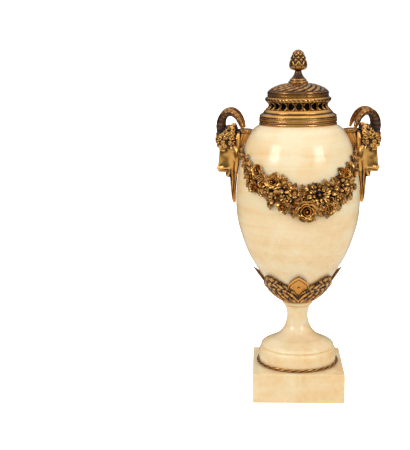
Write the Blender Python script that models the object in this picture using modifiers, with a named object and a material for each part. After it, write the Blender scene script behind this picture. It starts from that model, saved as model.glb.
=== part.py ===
"""Covered marble vase with gilt bronze mounts, standing on its own square plinth.

The vase is a turned egg-shaped marble vessel on a trumpet foot. Gilt bronze mounts dress
it: a twisted ring round the foot, a calyx of leaves, two ram's head handles, a garland of
flowers on each face, a moulded collar, a pierced gallery, a spirally lobed lid and a
pine cone finial.

Frame: +Z up, origin at the centre of the plinth's underside, handles along X and the
front garland towards -Y. Lengths below are in millimetres and become metres in the mesh.
Angles are in degrees, measured about Z from the front, and grow towards +X.
"""

import math

import bmesh
import bpy
import numpy as np
from mathutils import Vector

METRES = 0.001
GAP = 0.3

# Plinth
PLINTH_SIDE = 105.0
PLINTH_HEIGHT = 34.3
PLINTH_EDGE = 0.5

# Heights where one piece gives way to the next
FOOT_BASE = PLINTH_HEIGHT + GAP
FOOT_TOP = 109.5
BODY_BASE = FOOT_TOP + GAP
BODY_TOP = 315.0
COLLAR_BASE = BODY_TOP + GAP
COLLAR_TOP = 332.5
GALLERY_BASE = COLLAR_TOP + GAP
GALLERY_TOP = 346.5
LID_BASE = GALLERY_TOP + GAP
LID_TOP = 361.5
FINIAL_BASE = LID_TOP + GAP
TOTAL_HEIGHT = 399.0

# Radii that several pieces share
DRUM_RADIUS = 44.3
MOUTH_RADIUS = 30.5

# Twisted ring round the foot
FOOT_RING_RADIUS = 46.4
FOOT_RING_THICKNESS = 3.2
FOOT_RING_TWIST = 0.18
FOOT_RING_STRANDS = 18
FOOT_RING_STEPS = 2 * FOOT_RING_STRANDS

# Calyx of leaves under the body
CALYX_THICKNESS = 1.3
CALYX_RIDGE = 0.9
CALYX_FOOT_HEIGHT = BODY_BASE + 0.2
CALYX_TIP_HEIGHT = 148.0
CALYX_CLEARANCE = 0.6
CALYX_TIP_STAND = 2.2
CALYX_COLUMNS = 40
CALYX_SHARES = (0.0, 0.1, 0.3, 0.62, 1.0)
LEAF_PITCH = 45.0
# Edge from the middle of a plain leaf to that of an acanthus: angle, height
CALYX_EDGE = [
    (0.0, CALYX_TIP_HEIGHT), (9.0, 144.5), (18.0, 137.0), (27.0, 140.0), (36.0, 144.0),
    (LEAF_PITCH, CALYX_TIP_HEIGHT),
]

# Pierced gallery
GALLERY_HOLES = 24
GALLERY_HOLE_RADIUS = 3.0
GALLERY_HOLE_HEIGHT = 336.5
HOLE_SIDES = 6

# Lid
LID_LOBES = 18
LID_TURN = 42.0
LOBE_DEPTH = 1.1
LOBE_START = 0.35

# Finial
CONE_COLUMNS = 12
CONE_SCALE = 0.055
CONE_POINT_RADIUS = 1.0

# The ram's heads and the garland are drawn a little large, and are brought to size about this height
MOUNT_SCALE = 0.963
MOUNT_LEVEL = 332.0

# Handles
CLEARANCE_TOP = BODY_TOP + 20.0

# Garland
RELIEF_CLEARANCE = 0.9
GARLAND_END = 85.5

# Facets of the turned pieces
FOOT_STEPS = 24
VESSEL_STEPS = 28
GALLERY_STEPS = GALLERY_HOLES


def smooth(points, per_span):
    """Points of a centripetal Catmull-Rom curve through the given points."""
    knots = np.array(points, dtype=float)
    padded = np.vstack([2 * knots[0] - knots[1], knots, 2 * knots[-1] - knots[-2]])
    curve = []
    for p0, p1, p2, p3 in zip(padded, padded[1:], padded[2:], padded[3:]):
        t1 = np.linalg.norm(p1 - p0) ** 0.5
        t2 = t1 + np.linalg.norm(p2 - p1) ** 0.5
        t3 = t2 + np.linalg.norm(p3 - p2) ** 0.5
        for t in np.linspace(t1, t2, per_span, endpoint=False):
            a1 = p0 + (p1 - p0) * t / t1
            a2 = p1 + (p2 - p1) * (t - t1) / (t2 - t1)
            a3 = p2 + (p3 - p2) * (t - t2) / (t3 - t2)
            b1 = a1 + (a2 - a1) * t / t2
            b2 = a2 + (a3 - a2) * (t - t1) / (t3 - t1)
            curve.append(b1 + (b2 - b1) * (t - t1) / (t2 - t1))
    curve.append(knots[-1])
    return np.array(curve)


# Half outlines (radius, height), from the bottom up
FOOT_DRUM = [
    (DRUM_RADIUS, FOOT_BASE), (DRUM_RADIUS, 38.5), (45.3, 43.5), (44.7, 51.0), (42.0, 54.0),
]
FOOT_FLARE = [
    (42.7, 55.5), (41.0, 58.0), (35.0, 61.0), (27.0, 65.0), (20.5, 70.0), (16.5, 75.0),
    (13.5, 81.5), (12.0, 90.5), (13.0, 97.5), (14.5, 103.0),
]
FOOT_BEAD = [(16.5, 105.0), (17.5, 107.0), (16.5, 109.0), (15.5, FOOT_TOP)]

BODY_OUTSIDE = [
    (15.5, BODY_BASE), (19.0, 113.5), (27.5, 120.5), (36.5, 132.0), (45.5, 146.5), (56.0, 164.5),
    (63.7, 184.5), (69.2, 204.5), (71.2, 226.0), (70.0, 248.5), (66.5, 272.0), (61.5, 291.0),
    (56.0, 303.5), (51.0, 310.5), (44.5, BODY_TOP),
]
BODY_INSIDE = [
    (0.0, 125.0), (23.5, 133.0), (48.0, 170.0), (62.5, 220.0), (59.5, 265.0), (46.0, 298.5),
    (MOUTH_RADIUS, 308.0), (MOUTH_RADIUS, BODY_TOP),
]
BODY_CURVE = smooth(BODY_OUTSIDE, 6)

COLLAR_OUTSIDE = [
    (44.5, COLLAR_BASE), (44.5, 317.0), (43.7, 318.0), (44.2, 319.0), (44.2, 323.0), (43.5, 324.0),
    (44.2, 325.0), (42.3, 326.5), (39.7, 328.5), (36.5, COLLAR_TOP),
]
GALLERY_OUTSIDE = [
    (36.5, GALLERY_BASE), (32.8, GALLERY_HOLE_HEIGHT), (36.0, 340.5), (37.3, 342.0), (37.3, 345.0),
    (35.0, GALLERY_TOP),
]
GALLERY_INNER_RADIUS = 30.0

LID_BAND = [(34.8, LID_BASE), (34.8, 351.5), (33.7, 353.0)]
LID_DOME = [(30.5, 355.5), (25.3, 358.3), (18.5, 360.5), (12.0, LID_TOP)]
LID_INSIDE = [(30.5, LID_BASE), (28.5, 350.5), (11.5, 356.0)]

FINIAL_STEM = [
    (11.2, FINIAL_BASE), (11.0, 364.0), (8.0, 366.7), (5.5, 369.5), (4.0, 372.5), (3.8, 375.0),
]
FINIAL_CONE = [
    (8.8, 377.0), (9.8, 380.5), (9.3, 385.0), (8.5, 389.0), (7.0, 393.0), (4.0, 397.0),
]


def body_radius(height):
    """Radius of the marble body's outer surface at a height."""
    return float(np.interp(height, BODY_CURVE[:, 1], BODY_CURVE[:, 0]))


def on_body(angle, height, proud):
    """A point that stands proud of the body's surface, square to it."""
    slope = (body_radius(height + 1.0) - body_radius(height - 1.0)) / 2.0
    length = math.hypot(1.0, slope)
    radius = body_radius(height) + proud / length
    turn = math.radians(angle)
    return (radius * math.sin(turn), -radius * math.cos(turn), height - proud * slope / length)


def mount_height(height):
    """Real height of a level in the drawings of the heads and the garland."""
    return MOUNT_LEVEL + (height - MOUNT_LEVEL) * MOUNT_SCALE


def clear_scene():
    """Empty the file of objects, and of collections left by an earlier run."""
    for obj in list(bpy.data.objects):
        bpy.data.objects.remove(obj, do_unlink=True)
    for collection in list(bpy.data.collections):
        bpy.data.collections.remove(collection)


def new_collection(name):
    collection = bpy.data.collections.new(name)
    bpy.context.scene.collection.children.link(collection)
    return collection


def principled(name, colour, roughness, metallic):
    """A material of one Principled BSDF."""
    material = bpy.data.materials.new(name)
    material.use_nodes = True
    shader = material.node_tree.nodes["Principled BSDF"]
    shader.inputs["Base Color"].default_value = (*colour, 1.0)
    shader.inputs["Roughness"].default_value = roughness
    shader.inputs["Metallic"].default_value = metallic
    return material


def mesh_object(name, points, faces, collection):
    """A closed mesh from points in millimetres, with its faces turned outwards."""
    mesh = bpy.data.meshes.new(name)
    mesh.from_pydata([Vector(point) * METRES for point in points], [], faces)
    shell = bmesh.new()
    shell.from_mesh(mesh)
    bmesh.ops.recalc_face_normals(shell, faces=shell.faces)
    shell.to_mesh(mesh)
    shell.free()
    obj = bpy.data.objects.new(name, mesh)
    collection.objects.link(obj)
    return obj


def turned(name, outline, steps, collection, closed=False):
    """A solid of revolution: a Screw on an outline that runs down its outer side."""
    mesh = bpy.data.meshes.new(name)
    points = [(radius * METRES, 0.0, height * METRES) for radius, height in outline]
    edges = [(i, i + 1) for i in range(len(points) - 1)]
    if closed:
        edges.append((len(points) - 1, 0))
    mesh.from_pydata(points, edges, [])
    obj = bpy.data.objects.new(name, mesh)
    collection.objects.link(obj)
    screw = obj.modifiers.new("Screw", "SCREW")
    screw.axis = "Z"
    screw.angle = math.tau
    screw.steps = steps
    screw.render_steps = steps
    screw.use_normal_calculate = True
    screw.use_merge_vertices = True
    screw.merge_threshold = 0.00001
    return obj


def ring_outline(outside, inner_radius):
    """Closed outline of a ring: down its outer side, then up its straight bore."""
    base, top = outside[0][1], outside[-1][1]
    return list(reversed(outside)) + [(inner_radius, base), (inner_radius, top)]


def realise(obj):
    """Put an object's evaluated mesh in its place, and drop its modifiers."""
    evaluated = obj.evaluated_get(bpy.context.evaluated_depsgraph_get())
    mesh = bpy.data.meshes.new_from_object(evaluated)
    obj.modifiers.clear()
    obj.data = mesh
    return obj


def boolean(obj, operation, operand):
    """Unite an object with, or cut it by, another object or a collection."""
    modifier = obj.modifiers.new(operation.title(), "BOOLEAN")
    modifier.operation = operation
    modifier.solver = "EXACT"
    if isinstance(operand, bpy.types.Collection):
        modifier.operand_type = "COLLECTION"
        modifier.collection = operand
    else:
        modifier.object = operand
    return modifier


def unite(name, shapes, collection, cutters):
    """One object from overlapping closed shapes."""
    first, rest = shapes[0], shapes[1:]
    tools = bpy.data.collections.new(name + "_shapes")
    cutters.children.link(tools)
    for shape in rest:
        for owner in list(shape.users_collection):
            owner.objects.unlink(shape)
        tools.objects.link(shape)
    boolean(first, "UNION", tools)
    realise(first)
    for shape in rest:
        bpy.data.objects.remove(shape, do_unlink=True)
    bpy.data.collections.remove(tools)
    first.name = name
    return first


def hide_cutter(obj):
    obj.hide_render = True
    obj.display_type = "WIRE"


def skin(rings):
    """Points and faces of a closed loft through rings of equally many points."""
    sides = len(rings[0])
    points = [point for ring in rings for point in ring]
    faces = []
    for row in range(len(rings) - 1):
        for side in range(sides):
            a = row * sides + side
            b = row * sides + (side + 1) % sides
            faces.append((a, b, b + sides, a + sides))
    faces.append(tuple(range(sides)))
    faces.append(tuple(range(len(points) - sides, len(points))))
    return points, faces


def level_ring(height, middle, half_depth, half_width, sides, squareness=2.0):
    """A horizontal superellipse, its depth along X and its width along Y."""
    ring = []
    for side in range(sides):
        turn = math.tau * (side + 0.5) / sides
        c, s = math.cos(turn), math.sin(turn)
        x = math.copysign(abs(c) ** (2.0 / squareness), c) * half_depth
        y = math.copysign(abs(s) ** (2.0 / squareness), s) * half_width
        ring.append((middle + x, y, height))
    return ring


def tube_rings(path, sides):
    """Rings square to a path of (x, y, z, radius) points."""
    rings = []
    centres = [Vector(point[:3]) for point in path]
    for index, point in enumerate(path):
        ahead = centres[min(index + 1, len(path) - 1)]
        behind = centres[max(index - 1, 0)]
        along = (ahead - behind).normalized()
        across = along.cross(Vector((0.0, 1.0, 0.0))).normalized()
        other = along.cross(across)
        ring = []
        for side in range(sides):
            turn = math.tau * side / sides
            spoke = across * math.cos(turn) + other * math.sin(turn)
            ring.append(tuple(centres[index] + spoke * point[3]))
        rings.append(ring)
    return rings


def make_plinth(collection):
    """Square slab with its sharp edges just broken."""
    bpy.ops.mesh.primitive_cube_add(size=1.0, location=(0.0, 0.0, PLINTH_HEIGHT * METRES / 2))
    plinth = bpy.context.object
    plinth.name = "plinth"
    plinth.scale = (PLINTH_SIDE * METRES, PLINTH_SIDE * METRES, PLINTH_HEIGHT * METRES)
    bpy.ops.object.transform_apply(location=False, rotation=False, scale=True)
    bevel = plinth.modifiers.new("Bevel", "BEVEL")
    bevel.width = PLINTH_EDGE * METRES
    bevel.segments = 1
    for owner in list(plinth.users_collection):
        owner.objects.unlink(plinth)
    collection.objects.link(plinth)
    return plinth


def make_foot(collection):
    """Trumpet foot: drum with a fillet, concave flare, stem and bead, turned solid."""
    outline = [(0.0, FOOT_BASE)] + FOOT_DRUM + FOOT_FLARE + FOOT_BEAD + [(0.0, FOOT_TOP)]
    return turned("foot", list(reversed(outline)), FOOT_STEPS, collection)


def make_foot_ring(collection):
    """Ring of twisted strands: a torus whose section swells in turn along it."""
    bpy.ops.mesh.primitive_torus_add(
        major_segments=FOOT_RING_STEPS, minor_segments=5,
        major_radius=FOOT_RING_RADIUS * METRES, minor_radius=FOOT_RING_THICKNESS * METRES / 2)
    ring = bpy.context.object
    ring.name = "foot_ring"
    middle = FOOT_BASE + FOOT_RING_THICKNESS / 2
    for vertex in ring.data.vertices:
        turn = math.atan2(vertex.co.y, vertex.co.x)
        across = math.hypot(vertex.co.x, vertex.co.y) - FOOT_RING_RADIUS * METRES
        around = math.atan2(vertex.co.z, across)
        strand = math.cos(FOOT_RING_STRANDS * turn + around)
        swell = 1.0 - FOOT_RING_TWIST * 0.5 * (1.0 - strand)
        radius = FOOT_RING_RADIUS * METRES + across * swell
        vertex.co.x = radius * math.cos(turn)
        vertex.co.y = radius * math.sin(turn)
        vertex.co.z = vertex.co.z * swell + middle * METRES
    for owner in list(ring.users_collection):
        owner.objects.unlink(ring)
    collection.objects.link(ring)
    return ring


def make_body(collection):
    """Egg-shaped vessel, hollow to within a wall of about 8 mm, its mouth open."""
    outline = BODY_INSIDE + list(reversed(BODY_OUTSIDE)) + [(0.0, BODY_BASE)]
    return turned("body", outline, VESSEL_STEPS, collection)


def make_clearance(collection):
    """The body's outer shape grown by the gap, which trims what stands against it."""
    grown = [(0.0, CLEARANCE_TOP), (BODY_OUTSIDE[-1][0] + GAP, CLEARANCE_TOP)]
    grown += [(radius + GAP, height) for radius, height in reversed(BODY_OUTSIDE)]
    grown += [(0.0, BODY_BASE)]
    clearance = turned("body_clearance", grown, VESSEL_STEPS, collection)
    hide_cutter(clearance)
    return realise(clearance)


def calyx_edge(angle):
    """Height of the leaves' edge: plain lozenge leaves in turn with acanthus."""
    pair = 2.0 * LEAF_PITCH
    away = abs(angle - round(angle / pair) * pair)
    return float(np.interp(away, *zip(*CALYX_EDGE)))


def make_calyx(collection):
    """Leaf cup: an inner and an outer surface that follow the body and part at the tips."""
    columns, rows = CALYX_COLUMNS, len(CALYX_SHARES) - 1
    inner, outer = [], []
    for share in CALYX_SHARES:
        for column in range(columns):
            angle = column * 360.0 / columns
            height = CALYX_FOOT_HEIGHT + (calyx_edge(angle) - CALYX_FOOT_HEIGHT) * share
            rise = (height - BODY_BASE) / (CALYX_TIP_HEIGHT - BODY_BASE)
            off = CALYX_CLEARANCE + CALYX_TIP_STAND * rise ** 4
            fold = abs(angle / LEAF_PITCH - round(angle / LEAF_PITCH)) * 2.0
            ridge = CALYX_RIDGE * (1.0 - fold) * (1.0 - 0.5 * share)
            inner.append(on_body(angle, height, off))
            outer.append(on_body(angle, height, off + CALYX_THICKNESS + ridge))
    points = inner + outer
    shift = len(inner)
    faces = []
    for column in range(columns):
        following = (column + 1) % columns
        for row in range(rows):
            a, b = row * columns + column, row * columns + following
            faces.append((a, b, b + columns, a + columns))
            faces.append((a + shift, a + columns + shift, b + columns + shift, b + shift))
        faces.append((column, column + shift, following + shift, following))
        a, b = rows * columns + column, rows * columns + following
        faces.append((a, b, b + shift, a + shift))
    return mesh_object("calyx", points, faces, collection)


def make_collar(collection):
    """Moulded ring: a grooved upright band and an ogee that draws in to the gallery."""
    outline = ring_outline(COLLAR_OUTSIDE, MOUTH_RADIUS)
    return turned("collar", outline, VESSEL_STEPS, collection, closed=True)


def make_gallery(collection, cutters):
    """Waisted ring with a roll on top, pierced by a row of round holes."""
    outline = ring_outline(GALLERY_OUTSIDE, GALLERY_INNER_RADIUS)
    gallery = turned("pierced_gallery", outline, GALLERY_STEPS, collection, closed=True)
    gallery.rotation_euler.z = math.pi / GALLERY_HOLES
    holes = bpy.data.collections.new("gallery_holes")
    cutters.children.link(holes)
    for index in range(GALLERY_HOLES // 2):
        shape = bmesh.new()
        bmesh.ops.create_cone(
            shape, cap_ends=True, segments=HOLE_SIDES, radius1=GALLERY_HOLE_RADIUS * METRES,
            radius2=GALLERY_HOLE_RADIUS * METRES, depth=2.5 * GALLERY_OUTSIDE[0][0] * METRES)
        mesh = bpy.data.meshes.new("hole")
        shape.to_mesh(mesh)
        shape.free()
        hole = bpy.data.objects.new(f"hole_{index:02d}", mesh)
        holes.objects.link(hole)
        hole.location = (0.0, 0.0, GALLERY_HOLE_HEIGHT * METRES)
        hole.rotation_euler = (math.pi / 2, 0.0, math.tau * index / GALLERY_HOLES)
        hide_cutter(hole)
    boolean(gallery, "DIFFERENCE", holes)
    return gallery


def make_lid(collection):
    """Lid with an upright band and a dome of spiral lobes, hollow underneath."""
    columns = LID_LOBES * 2
    rings = []
    dome_span = LID_DOME[0][0] - LID_DOME[-1][0]

    def ring(radius, height, turn, depth):
        points = []
        for column in range(columns):
            angle = math.radians(360.0 * column / columns + turn)
            fall = depth if column % 2 else 0.0
            points.append((radius * math.cos(angle), radius * math.sin(angle), height - fall))
        return points

    for radius, height in reversed(LID_INSIDE):
        rings.append(ring(radius, height, 0.0, 0.0))
    for radius, height in LID_BAND:
        rings.append(ring(radius, height, 0.0, 0.0))
    for radius, height in LID_DOME:
        share = (LID_DOME[0][0] - radius) / dome_span
        swell = math.sin(math.pi * (LOBE_START + (1.0 - LOBE_START) * share))
        rings.append(ring(radius, height, LID_TURN * share, LOBE_DEPTH * max(0.0, swell) ** 0.5))
    points, faces = skin(rings)
    return mesh_object("lid", points, faces, collection)


def make_finial(collection):
    """Spool stem under a pine cone whose scales stand out in turn."""
    rings = []
    for radius, height in FINIAL_STEM:
        rings.append(level_ring(height, 0.0, radius, radius, CONE_COLUMNS))
    for row, (radius, height) in enumerate(FINIAL_CONE):
        ring = []
        for column, point in enumerate(level_ring(height, 0.0, radius, radius, CONE_COLUMNS)):
            stand = 1.0 + CONE_SCALE * (1 if (row + column) % 2 else -1)
            ring.append((point[0] * stand, point[1] * stand, point[2]))
        rings.append(ring)
    rings.append(level_ring(TOTAL_HEIGHT, 0.0, CONE_POINT_RADIUS, CONE_POINT_RADIUS, CONE_COLUMNS))
    points, faces = skin(rings)
    return mesh_object("finial", points, faces, collection)


# Ram's head: rings of (height, middle, half depth, half width), middle and depth along X
RAM_HEAD = [
    (258.0, 88.5, 5.0, 5.5), (261.5, 87.0, 8.0, 7.2), (267.0, 84.3, 10.6, 7.6),
    (276.0, 82.6, 11.0, 8.4), (285.0, 82.0, 11.4, 10.2), (290.5, 83.6, 12.8, 13.0),
    (298.0, 85.0, 14.0, 14.4), (305.0, 84.5, 12.8, 13.4), (311.5, 84.0, 8.5, 9.0),
]
RAM_JAW = [(251.6, 82.8, 2.6, 3.4), (255.5, 82.4, 3.6, 4.6), (270.0, 80.0, 5.0, 6.0)]
RAM_BEARD = [
    (220.6, 76.2, 1.9, 2.4), (226.0, 76.5, 2.7, 3.4), (238.0, 77.0, 3.1, 3.6),
    (252.0, 76.6, 3.9, 4.4), (272.0, 75.4, 5.6, 5.8),
]
RAM_NECK = [
    (286.0, 68.0, 4.5, 5.0), (294.0, 66.5, 8.0, 7.0), (302.0, 64.0, 9.0, 9.5),
    (305.6, 63.0, 8.6, 11.0), (306.2, 62.8, 9.4, 12.0), (309.4, 62.6, 9.2, 12.0),
]
RAM_BACK_PLATE = [
    (252.0, 72.4, 2.6, 3.0), (262.0, 71.4, 3.4, 5.0), (276.0, 69.0, 3.4, 5.0),
    (290.0, 65.5, 4.5, 5.0),
]
RAM_TUFT = [(304.0, 77.0, 5.0, 5.0), (312.0, 76.0, 4.6, 4.6), (317.0, 75.5, 2.0, 2.0)]
# Near horn: x, y, z and radius along it; the far horn mirrors it
RAM_HORN = [
    (88.5, 5.0, 300.0, 6.4), (91.0, 8.5, 312.0, 6.3), (89.6, 12.5, 322.0, 5.7),
    (84.5, 16.5, 328.6, 5.2), (77.5, 20.5, 329.6, 4.6), (70.8, 24.5, 324.6, 4.0),
    (66.4, 27.8, 316.5, 3.3), (63.6, 30.0, 308.6, 2.3),
]
RAM_EAR = [
    (77.0, 8.5, 293.0, 3.0), (75.6, 13.0, 288.0, 4.0), (74.4, 15.0, 280.0, 3.6),
    (73.8, 15.0, 272.5, 1.2),
]


def make_handle(name, side, collection, cutters):
    """Ram's head that looks outwards, with horns, ears, beard, neck and back plate."""
    shapes = []

    def add(label, rings):
        points, faces = skin(rings)
        points = [(x * MOUNT_SCALE * side, y * MOUNT_SCALE, mount_height(z)) for x, y, z in points]
        shapes.append(mesh_object(f"{name}_{label}", points, faces, collection))

    def stack(rows, sides, squareness=2.0):
        return [level_ring(*row, sides, squareness) for row in rows]

    add("head", stack(RAM_HEAD, 10, 2.4))
    add("jaw", stack(RAM_JAW, 6))
    add("beard", stack(RAM_BEARD, 6))
    add("neck", stack(RAM_NECK, 10))
    add("back_plate", stack(RAM_BACK_PLATE, 6, 3.0))
    add("tuft", stack(RAM_TUFT, 5))
    for hand in (-1, 1):
        for label, path, sides in (("horn", RAM_HORN, 6), ("ear", RAM_EAR, 5)):
            placed = [(x, y * hand, z, radius) for x, y, z, radius in path]
            add(f"{label}_{hand}", tube_rings(placed, sides))
    handle = unite(name, shapes, collection, cutters)
    boolean(handle, "DIFFERENCE", cutters.objects["body_clearance"])
    return handle


# Garland: its middle line (angle, height), and its half width from end to end
SWAG_LINE = [
    (-GARLAND_END, 284.0), (-70.0, 281.0), (-58.0, 270.0), (-46.0, 258.0), (-33.0, 251.0),
    (-20.0, 243.0), (-7.0, 234.0), (6.0, 230.0), (20.0, 232.5), (34.0, 241.0), (46.0, 252.0),
    (58.0, 264.0), (70.0, 279.0), (GARLAND_END, 284.0),
]
SWAG_THIN, SWAG_THICK = 1.5, 12.0
SWAG_SWELL = 0.7
SWAG_LUMP = 1.6
SWAG_LOW, SWAG_HIGH = 1.6, 5.0
SWAG_SHOULDER = 0.55
SWAG_SCALLOP = 0.1
# Flowers stand higher the wider they are: heart and brim at radius 0, and their rise with it
BLOOM_HEART, BLOOM_HEART_RISE = 3.5, 0.55
BLOOM_BRIM, BLOOM_BRIM_RISE = 1.5, 0.25
BLOOM_DIMPLE = 0.12
BLOOM_HEART_REACH = 0.45
BLOOM_NOTCH = 0.8
LEAF_WIDTH = 0.28
LEAF_EDGE_STAND, LEAF_MIDRIB_STAND = 1.2, 4.0
LEAF_CREST = 0.4
# Flowers: angle, height, radius, petals
BLOOMS = [
    (-54.0, 271.5, 3.8, 4), (-42.0, 265.0, 5.6, 5), (-43.5, 248.0, 6.0, 5), (-24.0, 254.5, 8.0, 5),
    (-12.5, 248.5, 6.4, 5), (-20.5, 237.0, 7.4, 5), (-4.0, 243.5, 5.4, 4), (-13.5, 227.5, 5.6, 5),
    (5.5, 222.5, 11.0, 6), (15.0, 240.5, 8.6, 6), (27.0, 246.5, 6.4, 5), (26.0, 225.5, 6.6, 5),
    (39.0, 248.5, 7.0, 5), (46.0, 261.0, 5.8, 5),
]
# Leaves: angle and height of the root, direction in degrees above the horizontal, length
LEAVES = [
    (-60.0, 272.0, 60.0, 11.0), (-33.0, 251.0, -110.0, 14.0), (-12.0, 243.0, 80.0, 17.0),
    (-22.0, 236.0, -140.0, 14.0), (4.0, 236.0, 92.0, 15.0), (17.0, 239.0, 75.0, 17.0),
    (31.0, 244.0, 100.0, 14.0), (45.0, 247.0, -70.0, 16.0), (57.0, 262.0, 50.0, 12.0),
]


def laid(angle, height, across, up, proud):
    """A point of the body's surface, offset across and up it, standing proud."""
    turn = angle + math.degrees(across / body_radius(height))
    return on_body(turn, height + up, proud)


def bloom(angle, height, radius, petals):
    """Flower: a dimpled heart, a raised ring and an edge of petals that stand off the body."""
    top = RELIEF_CLEARANCE + BLOOM_HEART + BLOOM_HEART_RISE * radius
    brim = RELIEF_CLEARANCE + BLOOM_BRIM + BLOOM_BRIM_RISE * radius
    points = [laid(angle, height, 0.0, 0.0, top - BLOOM_DIMPLE * radius)]
    for index in range(petals):
        turn = math.tau * (index + 0.5) / petals
        reach = BLOOM_HEART_REACH * radius
        points.append(laid(angle, height, reach * math.cos(turn), reach * math.sin(turn), top))
    for index in range(2 * petals):
        turn = math.tau * index / (2 * petals)
        reach = radius * (1.0 if index % 2 else BLOOM_NOTCH)
        points.append(laid(angle, height, reach * math.cos(turn), reach * math.sin(turn), brim))
    points.append(laid(angle, height, 0.0, 0.0, RELIEF_CLEARANCE))
    heart, edge, base = 1, 1 + petals, 1 + 3 * petals
    faces = []
    for index in range(petals):
        following = (index + 1) % petals
        a, b, c = edge + 2 * index, edge + 2 * index + 1, edge + (2 * index + 2) % (2 * petals)
        faces.append((0, heart + index, heart + following))
        faces.append((heart + index, a, b))
        faces.append((heart + index, b, c))
        faces.append((heart + index, c, heart + following))
        faces.append((base, b, a))
        faces.append((base, c, b))
    return points, faces


def leaf(angle, height, direction, length):
    """Pointed leaf with a raised midrib."""
    turn = math.radians(direction)
    along = (math.cos(turn), math.sin(turn))
    square = (-along[1], along[0])
    width = LEAF_WIDTH * length

    def at(ahead, aside, stand):
        across = along[0] * ahead + square[0] * aside
        up = along[1] * ahead + square[1] * aside
        return laid(angle, height, across, up, RELIEF_CLEARANCE + stand)

    outline = [(0.0, 0.0), (0.5 * length, width), (length, 0.0), (0.5 * length, -width)]
    points = [at(ahead, aside, LEAF_EDGE_STAND) for ahead, aside in outline]
    crest = LEAF_CREST * length
    points += [at(crest, 0.0, 0.0), at(crest, 0.0, LEAF_MIDRIB_STAND)]
    faces = []
    for index in range(4):
        following = (index + 1) % 4
        faces.append((4, following, index))
        faces.append((5, index, following))
    return points, faces


def swag():
    """Bed of the garland: a lumpy half round strip that swells towards its middle."""
    rings = []
    for index, (angle, height) in enumerate(SWAG_LINE):
        share = max(0.0, math.cos(math.radians(90.0 * angle / GARLAND_END))) ** SWAG_SWELL
        half = SWAG_THIN + (SWAG_THICK - SWAG_THIN) * share
        lump = 1.0 if index % 2 else -1.0
        stand = SWAG_LOW + (SWAG_HIGH - SWAG_LOW) * share
        tilt = SWAG_LUMP * share * lump
        section = [
            (-half * (1.0 - SWAG_SCALLOP * lump), 0.0), (-SWAG_SHOULDER * half, stand - tilt),
            (SWAG_SHOULDER * half, stand + tilt), (half * (1.0 + SWAG_SCALLOP * lump), 0.0)]
        level = mount_height(height)
        rings.append([on_body(angle, level + up, RELIEF_CLEARANCE + off) for up, off in section])
    return skin(rings)


def make_garland(collection, cutters):
    """Swag of flowers and leaves, one relief that follows the body's curve."""
    shapes = [mesh_object("swag", *swag(), collection)]
    for index, (angle, height, radius, petals) in enumerate(BLOOMS):
        shape = bloom(angle, mount_height(height), radius * MOUNT_SCALE, petals)
        shapes.append(mesh_object(f"bloom_{index:02d}", *shape, collection))
    for index, (angle, height, direction, length) in enumerate(LEAVES):
        shape = leaf(angle, mount_height(height), direction, length * MOUNT_SCALE)
        shapes.append(mesh_object(f"leaf_{index:02d}", *shape, collection))
    return unite("garland_front", shapes, collection, cutters)


def make_back_garland(front, collection):
    """The same casting on the other face, half a turn round."""
    back = bpy.data.objects.new("garland_back", front.data)
    collection.objects.link(back)
    back.rotation_euler.z = math.pi
    return back


def main():
    clear_scene()
    vase = new_collection("marble_vase")
    cutters = new_collection("cutters")
    marble = principled("cream_marble", (0.80, 0.66, 0.43), 0.22, 0.0)
    bronze = principled("gilt_bronze", (0.56, 0.34, 0.12), 0.32, 1.0)

    stone_pieces = [make_plinth(vase), make_foot(vase), make_body(vase)]
    make_clearance(cutters)
    metal_pieces = [
        make_foot_ring(vase), make_calyx(vase), make_collar(vase), make_gallery(vase, cutters),
        make_lid(vase), make_finial(vase),
        make_handle("handle_right", 1, vase, cutters),
        make_handle("handle_left", -1, vase, cutters),
    ]
    front = make_garland(vase, cutters)
    metal_pieces += [front, make_back_garland(front, vase)]

    for pieces, material in ((stone_pieces, marble), (metal_pieces, bronze)):
        for piece in pieces:
            piece.data.materials.clear()
            piece.data.materials.append(material)
            piece.data.shade_smooth()
            piece.data.set_sharp_from_angle(angle=math.radians(40.0))


main()
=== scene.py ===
"""Covered marble vase with gilt bronze mounts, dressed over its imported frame.

The vessel, its trumpet foot and its plinth are polished cream marble. The mounts are
antique gilt bronze, bright on the high places and dark brown in the hollows. Lengths here
are in millimetres and become metres in the mesh. Angles are in degrees, measured about Z
from the front (-Y), and grow towards +X.
"""

from __future__ import annotations

import logging
import math
from collections.abc import Callable, Iterable, Sequence
from dataclasses import dataclass, field
from enum import Enum

import bpy
import numpy as np
from mathutils import Euler, Matrix

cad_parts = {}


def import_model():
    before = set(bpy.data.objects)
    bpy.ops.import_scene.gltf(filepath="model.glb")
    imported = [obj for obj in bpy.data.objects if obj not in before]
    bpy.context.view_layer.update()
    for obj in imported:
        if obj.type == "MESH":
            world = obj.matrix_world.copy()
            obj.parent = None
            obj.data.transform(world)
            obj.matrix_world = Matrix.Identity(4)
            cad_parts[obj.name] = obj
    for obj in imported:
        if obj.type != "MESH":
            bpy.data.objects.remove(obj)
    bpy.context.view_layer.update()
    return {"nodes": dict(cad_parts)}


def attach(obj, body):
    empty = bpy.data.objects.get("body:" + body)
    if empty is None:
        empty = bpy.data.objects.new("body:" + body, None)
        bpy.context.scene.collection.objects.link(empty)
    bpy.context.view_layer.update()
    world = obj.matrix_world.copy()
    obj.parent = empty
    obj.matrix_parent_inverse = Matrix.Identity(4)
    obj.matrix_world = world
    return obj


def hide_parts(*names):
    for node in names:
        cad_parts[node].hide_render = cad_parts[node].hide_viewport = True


LOG = logging.getLogger("marble_vase")

MM = 0.001
FULL_TURN = 360.0
MOUNT_SCALE = 0.963
MOUNT_LEVEL = 332.0

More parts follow.
